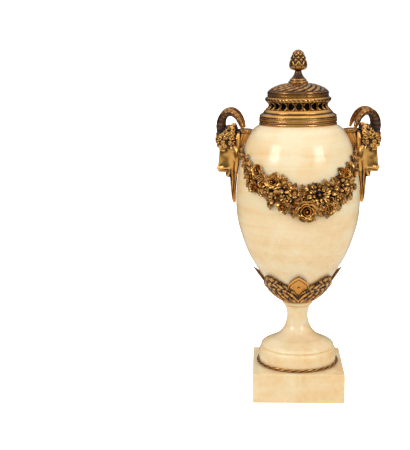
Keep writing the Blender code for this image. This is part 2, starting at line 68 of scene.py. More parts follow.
Triple = tuple[float, float, float]
Outline = tuple[tuple[float, float], ...]
Rows = tuple[tuple[float, float, float, float], ...]
Amount = np.ndarray | float
Place = Callable[[Amount, Amount, Amount], np.ndarray]


class Slot(Enum):
    """Names of the two materials."""

    MARBLE = "cream_marble"
    BRONZE = "gilt_bronze"


# Shapes


def flow(points: Sequence[Sequence[float]], per_span: int) -> np.ndarray:
    """Centripetal Catmull-Rom curve: cubic spans whose knots are spaced by root distance.

    Args:
        points: the rows that the curve passes through.
        per_span: how many rows each span gives.

    Returns:
        The curve's rows, the last point included.
    """
    knots = np.asarray(points, dtype=float)
    padded = np.vstack([2 * knots[0] - knots[1], knots, 2 * knots[-1] - knots[-2]])
    p0, p1, p2, p3 = (padded[i:len(padded) - 3 + i, None, :] for i in range(4))

    def gap(start: np.ndarray, end: np.ndarray) -> np.ndarray:
        """Root of the distance between knots."""
        return np.sqrt(np.linalg.norm(end - start, axis=2, keepdims=True))

    t1 = gap(p0, p1)
    t2 = t1 + gap(p1, p2)
    t3 = t2 + gap(p2, p3)
    t = t1 + (t2 - t1) * (np.arange(per_span) / per_span)[None, :, None]
    a1 = p0 + (p1 - p0) * t / t1
    a2 = p1 + (p2 - p1) * (t - t1) / (t2 - t1)
    a3 = p2 + (p3 - p2) * (t - t2) / (t3 - t2)
    b1 = a1 + (a2 - a1) * t / t2
    b2 = a2 + (a3 - a2) * (t - t1) / (t3 - t1)
    curve = b1 + (b2 - b1) * (t - t1) / (t2 - t1)
    return np.vstack([curve.reshape(-1, knots.shape[1]), knots[-1:]])


def around(angle: Amount, radius: Amount, height: Amount) -> np.ndarray:
    """Points at an angle from the front, a radius from the axis and a height."""
    turn = np.radians(angle)
    return np.stack(np.broadcast_arrays(radius * np.sin(turn), -radius * np.cos(turn), height), axis=-1)


def circle(count: int) -> np.ndarray:
    """Angles in radians, spread evenly over a full turn."""
    return np.linspace(0.0, math.tau, count, endpoint=False)


def columns_round(count: int) -> np.ndarray:
    """Angles in degrees, spread evenly over a full turn."""
    return np.linspace(0.0, FULL_TURN, count, endpoint=False)


def bump(value: Amount, centre: Amount, width: float) -> Amount:
    """A bell of height 1 round a centre: e to the minus square of the distance in widths."""
    return np.exp(-(((value - centre) / width) ** 2))


def step_up(value: Amount, start: Amount, width: float) -> Amount:
    """From 0 at the start straight up to 1 over a width, which is negative to climb downwards."""
    return np.clip((value - start) / width, 0.0, 1.0)


def quads(here: np.ndarray, beside: np.ndarray) -> np.ndarray:
    """Faces between the rows of a grid, from each point's number and that of its neighbour."""
    return np.stack([here[:-1], beside[:-1], beside[1:], here[1:]], axis=-1).reshape(-1, 4)


def turned(outline: np.ndarray, angles: np.ndarray, relief: Amount = 0.0) -> np.ndarray:
    """Surface of revolution: the half outline carried round the axis, moved by a relief.

    Each point is the outline's point plus the relief times the outline's normal, which is
    its tangent turned a quarter to the right, so an outline that climbs its outer side has
    its normal outwards.

    Args:
        outline: rows of radius and height.
        angles: where the columns stand.
        relief: millimetres outwards, one for all or one for each row and column.

    Returns:
        A grid of points, a row for each row of the outline.
    """
    tangent = np.gradient(outline, axis=0)
    tangent /= np.maximum(np.linalg.norm(tangent, axis=1, keepdims=True), 1e-9)
    radius = outline[:, 0, None] + tangent[:, 1, None] * relief
    height = outline[:, 1, None] - tangent[:, 0, None] * relief
    return around(angles[None, :], radius, height)


def tube(path: np.ndarray, sides: int, swell: Amount = 1.0) -> np.ndarray:
    """Rings square to a path of x, y, z and radius, each radius times the swell.

    Args:
        path: rows of x, y, z and radius.
        sides: points in a ring.
        swell: a factor for each ring and side, or one for all.

    Returns:
        A grid of points, a row for each ring.
    """
    centres = path[:, :3]
    along = np.gradient(centres, axis=0)
    along /= np.linalg.norm(along, axis=1, keepdims=True)
    across = np.cross(along, (0.0, 1.0, 0.0))
    across /= np.maximum(np.linalg.norm(across, axis=1, keepdims=True), 1e-6)
    other = np.cross(along, across)
    turn = circle(sides)
    spoke = across[:, None] * np.cos(turn)[:, None] + other[:, None] * np.sin(turn)[:, None]
    return centres[:, None] + spoke * (path[:, 3, None] * swell)[..., None]


def stack(rows: Rows, per_span: int, sides: int, squareness: float = 2.0, swell: Amount = 1.0) -> np.ndarray:
    """Level superellipses: x and y are the cosine and sine to the power 2 / squareness.

    Args:
        rows: rows of height, middle, half depth along X and half width along Y.
        per_span: what flow() takes to smooth them.
        sides: points in a ring.
        squareness: 2 for an ellipse, more for a boxier ring.
        swell: a factor on each ring and side, or one for all.

    Returns:
        A grid of points, a row for each ring.
    """
    turn, power = circle(sides), 2.0 / squareness
    x, y = (np.sign(wave) * np.abs(wave) ** power for wave in (np.cos(turn), np.sin(turn)))
    height, middle, depth, width = (column[:, None] for column in flow(rows, per_span).T)
    return np.stack(
        np.broadcast_arrays(middle + depth * x * swell, width * y * swell, height), axis=-1)


def to_size(points: np.ndarray) -> np.ndarray:
    """Bring points of the heads, which are drawn a little large, to size about MOUNT_LEVEL."""
    centre = np.array([0.0, 0.0, MOUNT_LEVEL])
    return centre + (points - centre) * MOUNT_SCALE


def base_of(node: bpy.types.Object) -> float:
    """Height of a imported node's underside, in millimetres."""
    return min(corner[2] for corner in node.bound_box) / MM


def lifted(rows: Outline, base: float) -> list[tuple[float, float]]:
    """An outline of radius and rise, carried up to the base it stands on."""
    return [(radius, base + rise) for radius, rise in rows]


@dataclass
class Casting:
    """The closed shells of one piece, gathered before they become a mesh."""

    points: list[np.ndarray] = field(default_factory=list)
    faces: list[np.ndarray] = field(default_factory=list)
    tones: list[np.ndarray] = field(default_factory=list)
    count: int = 0
    # the share of the top's tone that a sheet's underside gets: painted shade
    underside: float = 0.6

    def add(self, points: np.ndarray, *blocks: np.ndarray, tone: Amount = 0.5) -> None:
        """Add a closed shell, turned outwards by the sign of the volume it holds.

        Args:
            points: its points, in any shape that ends in x, y, z.
            blocks: arrays of faces, three or four corners in a row.
            tone: how bright the metal is at each point, or everywhere.
        """
        points = points.reshape(-1, 3)
        volume = 0.0
        for block in blocks:
            for corner in range(1, block.shape[1] - 1):
                a, b, c = (points[block[:, i]] for i in (0, corner, corner + 1))
                volume += float(np.einsum("ij,ij->", a, np.cross(b, c)))
        step = 1 if volume > 0.0 else -1
        self.faces += [block[:, ::step] + self.count for block in blocks]
        self.points.append(points)
        self.tones.append(np.broadcast_to(np.ravel(tone), len(points)))
        self.count += len(points)

    def loft(self, rings: np.ndarray, tone: Amount = 0.5) -> Casting:
        """Add a closed skin through rings, each end drawn to a pole at its middle.

        Args:
            rings: a grid of points, a row for each ring.
            tone: how bright the metal is on each ring and side, or everywhere.

        Returns:
            The casting.
        """
        rows, sides = rings.shape[:2]
        index = np.arange(rows * sides).reshape(rows, sides)
        beside = np.roll(index, -1, axis=1)
        low = np.stack([np.full(sides, rows * sides), beside[0], index[0]], axis=-1)
        high = np.stack([np.full(sides, rows * sides + 1), index[-1], beside[-1]], axis=-1)
        ends = np.stack([rings[0].mean(axis=0), rings[-1].mean(axis=0)])
        tone = np.broadcast_to(tone, (rows, sides))
        self.add(
            np.vstack([rings.reshape(-1, 3), ends]), quads(index, beside), low, high,
            tone=np.concatenate([tone.ravel(), [tone[0].mean(), tone[-1].mean()]]))
        return self

    def hoop(self, rings: np.ndarray, tone: Amount = 0.5) -> Casting:
        """Add a skin that closes on itself both ways, like a tyre.

        Args:
            rings: the rings' points, ring by ring.
            tone: how bright each point is.

        Returns:
            The casting.
        """
        index = np.arange(rings.size // 3).reshape(rings.shape[:2])
        index = np.vstack([index, index[:1]])
        self.add(rings, quads(index, np.roll(index, -1, axis=1)), tone=tone)
        return self

    def slab(self, top: np.ndarray, bottom: np.ndarray, tone: Amount = 0.5) -> None:
        """Add a closed sheet between two grids of the same shape, walled round its edge.

        Args:
            top: points of the upper face.
            bottom: points of the lower face.
            tone: how bright the top is; the bottom is painted darker as shade.
        """
        rows, columns = top.shape[:2]
        below = rows * columns
        index = np.arange(below).reshape(rows, columns)
        face = quads(index[:, :-1], index[:, 1:])
        edge = np.concatenate(
            [index[0, :-1], index[:-1, -1], index[-1, :0:-1], index[:0:-1, 0]])
        after = np.roll(edge, -1)
        wall = np.stack([edge, edge + below, after + below, after], axis=-1)
        tone = np.broadcast_to(tone, (rows, columns)).ravel()
        # the bottom gets a darker copy of the top's tone: painted shade
        self.add(
            np.stack([top, bottom]), face, face[:, ::-1] + below, wall,
            tone=np.concatenate([tone, tone * self.underside]))

    def mesh_object(self, name: str) -> bpy.types.Object:
        """Make the mesh from all that was added.

        Args:
            name: the piece's name.

        Returns:
            Its object, in metres and at the origin.
        """
        points = np.vstack(self.points) * MM
        faces = [face for block in self.faces for face in block.tolist()]
        mesh = bpy.data.meshes.new(name)
        mesh.from_pydata(points, [], faces)
        mesh.validate()
        obj = bpy.data.objects.new(name, mesh)
        bpy.context.scene.collection.objects.link(obj)
        return obj


def fuse(obj: bpy.types.Object, grain: float) -> None:
    """Melt a piece's overlapping shells into one skin of even squares, as a casting has.

    Args:
        obj: the piece.
        grain: the side of a square, in millimetres.
    """
    remesh = obj.modifiers.new("Fuse", "REMESH")
    remesh.mode = "VOXEL"
    remesh.voxel_size = grain * MM
    remesh.use_smooth_shade = True
    evaluated = obj.evaluated_get(bpy.context.evaluated_depsgraph_get())
    melted = bpy.data.meshes.new_from_object(evaluated)
    obj.modifiers.clear()
    raw, obj.data = obj.data, melted
    melted.name = raw.name
    bpy.data.meshes.remove(raw)


def read_points(mesh: bpy.types.Mesh) -> np.ndarray:
    """Read a mesh's points.

    Args:
        mesh: the mesh, in metres.

    Returns:
        Its points, in millimetres.
    """
    points = np.empty(len(mesh.vertices) * 3)
    mesh.vertices.foreach_get("co", points)
    return points.reshape(-1, 3) / MM


def write_points(mesh: bpy.types.Mesh, points: np.ndarray) -> None:
    """Put a mesh's points back, from millimetres."""
    mesh.vertices.foreach_set("co", (points * MM).ravel())
    mesh.update()


def copy_turned(obj: bpy.types.Object, name: str, matrix: np.ndarray) -> bpy.types.Object:
    """A second piece from the same pattern, its points carried by a matrix.

    A matrix that mirrors also turns the faces round, so that they still point outwards.

    Args:
        obj: the first piece.
        name: the new piece's name.
        matrix: three by three.

    Returns:
        The new piece.
    """
    mesh = obj.data.copy()
    mesh.name = name
    write_points(mesh, read_points(mesh) @ matrix.T)
    if np.linalg.det(matrix) < 0.0:
        mesh.flip_normals()
    twin = bpy.data.objects.new(name, mesh)
    bpy.context.scene.collection.objects.link(twin)
    return twin


def weather(mesh: bpy.types.Mesh, scales: Outline) -> np.ndarray:
    """Work out how far each point stands out: the patina, and the marble's painted crease shade.

    The mesh is relaxed: each point moves to the mean of its neighbours, again and again.
    The signed distance from the relaxed place to the true one, along the normal, is large
    on ridges and negative in grooves. It is summed over the scales, each divided by its
    reach, and brought about 0.5.

    Args:
        mesh: the piece's mesh.
        scales: how many times to relax, and the distance in mm that counts as full relief.

    Returns:
        A value from 0 to 1 for each point.
    """
    points = read_points(mesh)
    edges = np.empty(len(mesh.edges) * 2, dtype=np.int64)
    mesh.edges.foreach_get("vertices", edges)
    start, end = edges.reshape(-1, 2).T
    normals = np.empty(len(points) * 3)
    mesh.vertices.foreach_get("normal", normals)
    normals = normals.reshape(-1, 3)
    size = len(points)
    degree = np.maximum(np.bincount(edges, minlength=size), 1)[:, None]
    relaxed, done, relief = points.copy(), 0, np.zeros(size)
    for passes, reach in scales:
        for _ in range(passes - done):
            total = np.stack(
                [np.bincount(start, relaxed[end, axis], size)
                 + np.bincount(end, relaxed[start, axis], size) for axis in range(3)], axis=1)
            relaxed = total / degree
        done = passes
        relief += np.clip(np.einsum("ij,ij->i", points - relaxed, normals) / reach, -1.0, 1.0)
    return 0.5 + 0.5 * relief / len(scales)


def dress(
    obj: bpy.types.Object, finish: bpy.types.Material, sharp: float, name: str, values: np.ndarray,
) -> None:
    """Shade a piece smooth but for its sharp edges, and give it its finish and what that reads.

    Args:
        obj: the piece.
        finish: its material.
        sharp: the angle in degrees past which an edge stays sharp.
        name: the attribute that the finish reads.
        values: the attribute at each point.
    """
    mesh = obj.data
    mesh.shade_smooth()
    mesh.set_sharp_from_angle(angle=math.radians(sharp))
    mesh.attributes.new(name, "FLOAT", "POINT").data.foreach_set("value", values.ravel())
    mesh.materials.append(finish)


def mount(piece: bpy.types.Object, node: str, slot: Slot) -> None:
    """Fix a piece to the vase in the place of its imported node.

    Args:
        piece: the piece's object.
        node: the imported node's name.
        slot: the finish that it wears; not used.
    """
    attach(piece, "root")
    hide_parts(node)
    LOG.info("%s: %d triangles", piece.name, sum(len(p.vertices) - 2 for p in piece.data.polygons))


# Finishes


class Wire:
    """A socket in a material whose operators add Math nodes."""

    def __init__(self, graph: Graph, socket: bpy.types.NodeSocket) -> None:
        """Keep the socket and the graph that it belongs to."""
        self.graph = graph
        self.socket = socket

    def _math(self, operation: str, *values: Wire | float) -> Wire:
        """A Math node on wires or numbers."""
        return self.graph.node("ShaderNodeMath", {"operation": operation}, dict(enumerate(values)))

    def __add__(self, other: Wire | float) -> Wire:
        """The sum."""
        return self._math("ADD", self, other)

    __radd__ = __add__

    def __sub__(self, other: Wire | float) -> Wire:
        """The difference."""
        return self._math("SUBTRACT", self, other)

    def __rsub__(self, other: float) -> Wire:
        """A number less this wire."""
        return self._math("SUBTRACT", other, self)

    def __mul__(self, other: Wire | float) -> Wire:
        """The product."""
        return self._math("MULTIPLY", self, other)

    __rmul__ = __mul__

    def spread(self, low: float, high: float) -> Wire:
        """Map a span of this wire to 0 to 1, held there, with soft ends.

        Args:
            low: what gives 0.
            high: what gives 1.

        Returns:
            The mapped wire.
        """
        return self.graph.node(
            "ShaderNodeMapRange", {"interpolation_type": "SMOOTHSTEP", "clamp": True},
            {"Value": self, "From Min": low, "From Max": high})


class Graph:
    """The node tree of a material or of the world, with one method for any node."""

    def __init__(self, owner: bpy.types.Material | bpy.types.World) -> None:
        """Take the owner's tree, which in a new material holds its Principled BSDF.

        Args:
            owner: the material or the world.
        """
        owner.use_nodes = True
        self.owner = owner
        self.tree = owner.node_tree

    def node(
        self, kind: str, settings: dict[str, object], inputs: dict[str | int, object],
        output: str | int = 0,
    ) -> Wire:
        """Add a node.

        Args:
            kind: its type's name.
            settings: properties that are set before its sockets; "stops" fills a ramp.
            inputs: a value or a wire for each socket.
            output: which of its outputs is wanted.

        Returns:
            That output's wire.
        """
        node = self.tree.nodes.new(kind)
        for key, value in settings.items():
            if key == "stops":
                self.fill_ramp(node.color_ramp, value)
            else:
                setattr(node, key, value)
        for key, value in inputs.items():
            self.feed(node.inputs[key], value)
        return Wire(self, node.outputs[output] if node.outputs else None)

    def feed(self, socket: bpy.types.NodeSocket, value: object) -> None:
        """Fill one socket.

        Args:
            socket: the socket.
            value: a wire to link, or the socket's own value.
        """
        if isinstance(value, Wire):
            self.tree.links.new(value.socket, socket)
        else:
            socket.default_value = value

    def mix(self, share: Wire, first: Wire, second: tuple[float, ...]) -> Wire:
        """A colour between two, by a share."""
        return self.node("ShaderNodeMix", {"data_type": "RGBA"}, {0: share, 6: first, 7: second}, 2)

    def place(self, scale: Triple = (1.0, 1.0, 1.0), turn: Triple = (0.0, 0.0, 0.0)) -> Wire:
        """The object's own coordinates, turned and scaled."""
        own = self.node("ShaderNodeTexCoord", {}, {}, "Object")
        return self.node("ShaderNodeMapping", {}, {"Vector": own, "Scale": scale, "Rotation": turn})

    def noise(self, where: Wire, scale: float, detail: float, distortion: float = 0.0) -> Wire:
        """Add fractal noise.

        Args:
            where: coordinates.
            scale: how fine it is.
            detail: octaves.
            distortion: how far it is warped.

        Returns:
            The noise, from 0 to 1.
        """
        return self.node(
            "ShaderNodeTexNoise", {},
            {"Vector": where, "Scale": scale, "Detail": detail, "Distortion": distortion})

    def ramp(self, share: Wire, places: Sequence[float], colours: Sequence[Triple]) -> Wire:
        """A colour read from a row of stops, each with its place."""
        return self.node("ShaderNodeValToRGB", {"stops": zip(places, colours)}, {0: share})

    def height(self, where: Wire) -> Wire:
        """The Z of coordinates or of a direction."""
        return self.node("ShaderNodeSeparateXYZ", {}, {"Vector": where}, "Z")

    def stored(self, name: str) -> Wire:
        """A value stored in the mesh, 0 where it has none."""
        return self.node("ShaderNodeAttribute", {"attribute_name": name}, {}, "Fac")

    def uneven(self, height: Wire, strength: float, distance: float) -> Wire:
        """Normals of a fine unevenness, its distance in millimetres."""
        return self.node(
            "ShaderNodeBump", {}, {"Height": height, "Strength": strength, "Distance": distance * MM})

    def finish(self, sockets: dict[str, object]) -> bpy.types.Material:
        """Feed the material's shader.

        Args:
            sockets: a value or a wire for each socket's name.

        Returns:
            The material.
        """
        for name, value in sockets.items():
            self.feed(self.tree.nodes["Principled BSDF"].inputs[name], value)
        return self.owner

    @staticmethod
    def fill_ramp(ramp: bpy.types.ColorRamp, stops: Iterable[tuple[float, Triple]]) -> None:
        """Set the stops of a ramp that starts with two.

        Args:
            ramp: the ramp.
            stops: place and colour of each.
        """
        for number, (position, colour) in enumerate(stops):
            element = ramp.elements[number] if number < 2 else ramp.elements.new(1.0)
            element.position = position
            element.color = (*colour, 1.0)


@dataclass(frozen=True)
class CreamMarble:
    """Polished cream marble: peach and amber clouds, banded above and mottled below."""

    pale: Triple = (0.92, 0.77, 0.50)
    cream: Triple = (0.90, 0.67, 0.37)
    peach: Triple = (0.86, 0.56, 0.25)
    amber: Triple = (0.66, 0.36, 0.12)
    stops: tuple[float, ...] = (0.37, 0.49, 0.60, 0.74)
    cloud_scale: float = 17.0
    mottle_scale: float = 150.0
    grain_scale: float = 420.0
    band_scale: Triple = (5.0, 5.0, 75.0)
    band_tilt: Triple = (0.06, 0.04, 0.0)
    banded: tuple[float, float] = (0.15, 0.27)
    vein_stretch: Triple = (1.0, 1.0, 1.6)
    vein_tilt: Triple = (0.5, 0.3, 0.0)
    vein_scale: float = 24.0
    vein_width: float = 0.025
    vein_strength: float = 0.16
    # how far the creases are painted amber as shade
    crease_shade: float = 0.75
    polish: float = 0.11
    refraction: float = 1.6
    glow: float = 0.25
    glow_reach: Triple = (1.0, 0.6, 0.3)
    depth_mm: float = 3.0

    def build(self) -> bpy.types.Material:
        """Make the finish from its values.

        Clouds, level bands and mottling choose the colour, and the bands take over from the
        mottling up the vessel, where the colour also pales towards the top as painted light from
        above. A vein runs where a noise passes through its middle value.
        Creases are painted amber as shade.

        Returns:
            Its material.
        """
        graph = Graph(bpy.data.materials.new(Slot.MARBLE.value))
        whole = graph.place()
        clouds = graph.noise(whole, self.cloud_scale, 4.0, 0.7)
        bands = graph.noise(graph.place(self.band_scale, self.band_tilt), 1.0, 4.0, 0.8)
        mottle = graph.noise(whole, self.mottle_scale, 5.0, 0.4)
        grain = graph.noise(whole, self.grain_scale, 3.0)
        high = graph.height(whole).spread(*self.banded)
        shade = clouds * 0.50 + bands * (0.20 + high * 0.30) + mottle * (0.22 - high * 0.20)
        # high * 0.11 pales the colour towards the top: painted light from above
        colour = graph.ramp(
            shade + grain * 0.06 - high * 0.11, self.stops, (self.pale, self.cream, self.peach, self.amber))
        drift = graph.noise(graph.place(self.vein_stretch, self.vein_tilt), self.vein_scale, 6.0, 1.6)
        low_side, high_side = drift - (0.5 - self.vein_width), (0.5 + self.vein_width) - drift
        vein = low_side.spread(0.0, self.vein_width) * high_side.spread(0.0, self.vein_width)
        colour = graph.mix(vein * self.vein_strength, colour, (*self.peach, 1.0))
        # painted shade: the marble is mixed towards amber in its creases
        colour = graph.mix(graph.stored("crease") * self.crease_shade, colour, (*self.amber, 1.0))
        return graph.finish({
            "Base Color": colour,
            "Roughness": self.polish + clouds * 0.10,
            "IOR": self.refraction,
            "Subsurface Weight": self.glow,
            "Subsurface Radius": self.glow_reach,
            "Subsurface Scale": self.depth_mm * MM,
            "Normal": graph.uneven(grain, 0.05, 0.05),
        })


@dataclass(frozen=True)
class GiltBronze:
    """Antique gilt bronze: the relief and a noise choose between gold and dark brown.

    Gilding is matt where it is brightest, on the parts that nothing has rubbed.
    """

    bright: Triple = (0.95, 0.50, 0.12)
    gold: Triple = (0.74, 0.38, 0.10)
    worn: Triple = (0.32, 0.132, 0.032)
    brown: Triple = (0.075, 0.029, 0.013)
    # darkest colour: deep patina in the hollows, and painted shade in the bore and the garland's depths
    deep_patina_and_shade: Triple = (0.010, 0.005, 0.003)
    stops: tuple[float, ...] = (0.28, 0.44, 0.58, 0.78, 1.0)
    blotch_scale: float = 85.0
    speck_scale: float = 700.0
    shiny: tuple[float, float] = (0.25, 0.72)
    matt: tuple[float, float] = (0.98, 1.20)
    polish: float = 0.27
    tarnish: float = 0.16
    wax: float = 0.25
    wax_polish: float = 0.16

    def build(self) -> bpy.types.Material:
        """Make the finish from its values.

        Returns:
            Its material.
        """
        graph = Graph(bpy.data.materials.new(Slot.BRONZE.value))
        whole = graph.place()
        blotch = graph.noise(whole, self.blotch_scale, 4.0, 0.4)
        speck = graph.noise(whole, self.speck_scale, 3.0)
        height = graph.stored("relief") + (blotch - 0.5) * 0.40 + (speck - 0.5) * 0.16
        shine = height.spread(*self.shiny)
        return graph.finish({
            "Base Color": graph.ramp(
                height, self.stops, (self.deep_patina_and_shade, self.brown, self.worn, self.gold, self.bright)),
            "Roughness": (self.polish + self.tarnish) - shine * self.tarnish,
            "Metallic": 0.6 + shine * 0.4 - height.spread(*self.matt) * 0.5,
            "Coat Weight": self.wax,
            "Coat Roughness": self.wax_polish,
            "Normal": graph.uneven(speck * 0.5 + blotch * 0.5, 0.22, 0.22),
        })


# Marble


@dataclass
class Stonework:
    """The marble: plinth, trumpet foot and the hollow egg-shaped vessel."""

    finish: bpy.types.Material
    nodes: dict[str, bpy.types.Object]
    columns: int = 144
    pole: float = 0.5
    crease_depth: float = 0.25
    foot_outline: Outline = (
        (44.3, 0.0), (44.8, 2.5), (45.3, 8.9), (45.1, 13.5), (44.4, 16.3), (42.9, 18.3),
        (41.7, 19.0), (41.7, 19.5), (42.7, 20.2), (42.8, 21.2), (40.9, 23.5), (34.9, 26.6), (27.0, 30.4),
        (20.7, 35.2), (16.6, 40.4), (14.0, 45.6), (12.5, 51.5), (12.1, 56.5), (12.7, 62.0),
        (14.4, 67.4), (15.1, 68.6), (14.2, 69.1), (14.3, 69.5), (16.2, 70.1), (17.3, 71.3), (17.5, 72.6),
        (17.2, 73.8), (16.4, 74.6), (15.5, 74.9),
    )
    body_outside: Outline = (
        (15.5, 0.0), (19.0, 3.7), (27.5, 10.7), (36.5, 22.2), (45.5, 36.7), (56.0, 54.7),
        (63.7, 74.7), (69.2, 94.7), (71.2, 116.2), (70.0, 138.7), (66.5, 162.2),
        (61.5, 181.2), (56.0, 193.7), (51.0, 200.7), (44.5, 205.2),
    )
    body_inside: Outline = (
        (30.5, 205.2), (30.5, 198.2), (46.0, 188.7), (59.5, 155.2), (62.5, 110.2),
        (48.0, 60.2), (23.5, 23.2), (2.0, 15.2),
    )

    def __post_init__(self) -> None:
        """Smooth the vessel's outer outline, which the mounts follow."""
        self.base = base_of(self.nodes["body"])
        self.curve = flow(lifted(self.body_outside, self.base), 8)
        self.slope = np.gradient(self.curve[:, 0], self.curve[:, 1])

    def radius(self, height: np.ndarray) -> np.ndarray:
        """Radius of the vessel's outer face at a height."""
        return np.interp(height, self.curve[:, 1], self.curve[:, 0])

    def on_body(self, angle: np.ndarray, height: np.ndarray, proud: np.ndarray) -> np.ndarray:
        """Place points over the vessel, square to its face.

        Args:
            angle: degrees round the axis.
            height: height of the point below each on the face.
            proud: how far each stands off the face.

        Returns:
            The points.
        """
        slope = np.interp(height, self.curve[:, 1], self.slope)
        length = np.sqrt(1.0 + slope**2)
        return around(angle, self.radius(height) + proud / length, height - proud * slope / length)

    def patch(self, angle: float, height: float) -> Place:
        """Make a flat sheet's map on to the vessel.

        Args:
            angle: degrees round the axis of the sheet's middle.
            height: its height.

        Returns:
            The map, from across, up and proud to a point.
        """

        def place(across: Amount, up: Amount, proud: Amount) -> np.ndarray:
            """The point on the vessel."""
            turn = angle + np.degrees(across / self.radius(height))
            return self.on_body(turn, height + up, proud)

        return place

    def turn(self, name: str, node: str, outline: np.ndarray) -> None:
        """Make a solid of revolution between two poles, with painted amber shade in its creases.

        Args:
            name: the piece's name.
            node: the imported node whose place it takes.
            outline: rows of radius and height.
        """
        obj = Casting().loft(turned(outline, columns_round(self.columns))).mesh_object(name)
        # the crease value marks the marble's hollows, which are painted amber as shade
        crease = np.clip(0.44 - weather(obj.data, ((6, 0.5),)), 0.0, self.crease_depth) / self.crease_depth
        dress(obj, self.finish, 40.0, "crease", crease)
        mount(obj, node, Slot.MARBLE)

    def build(self) -> None:
        """Turn the foot and the vessel, and dress the plinth."""
        foot = flow(lifted(self.foot_outline, base_of(self.nodes["foot"])), 4)
        self.turn("trumpet_foot", "foot", np.vstack(
            [[self.pole, foot[0, 1]], foot, [self.pole, foot[-1, 1]]]))
        inside = flow(lifted(self.body_inside, self.base), 6)
        self.turn("vessel", "body", np.vstack([[self.pole, self.curve[0, 1]], self.curve, inside]))
        plinth = self.nodes["plinth"].data
        plinth.materials.clear()
        plinth.materials.append(self.finish)


# Turned mounts


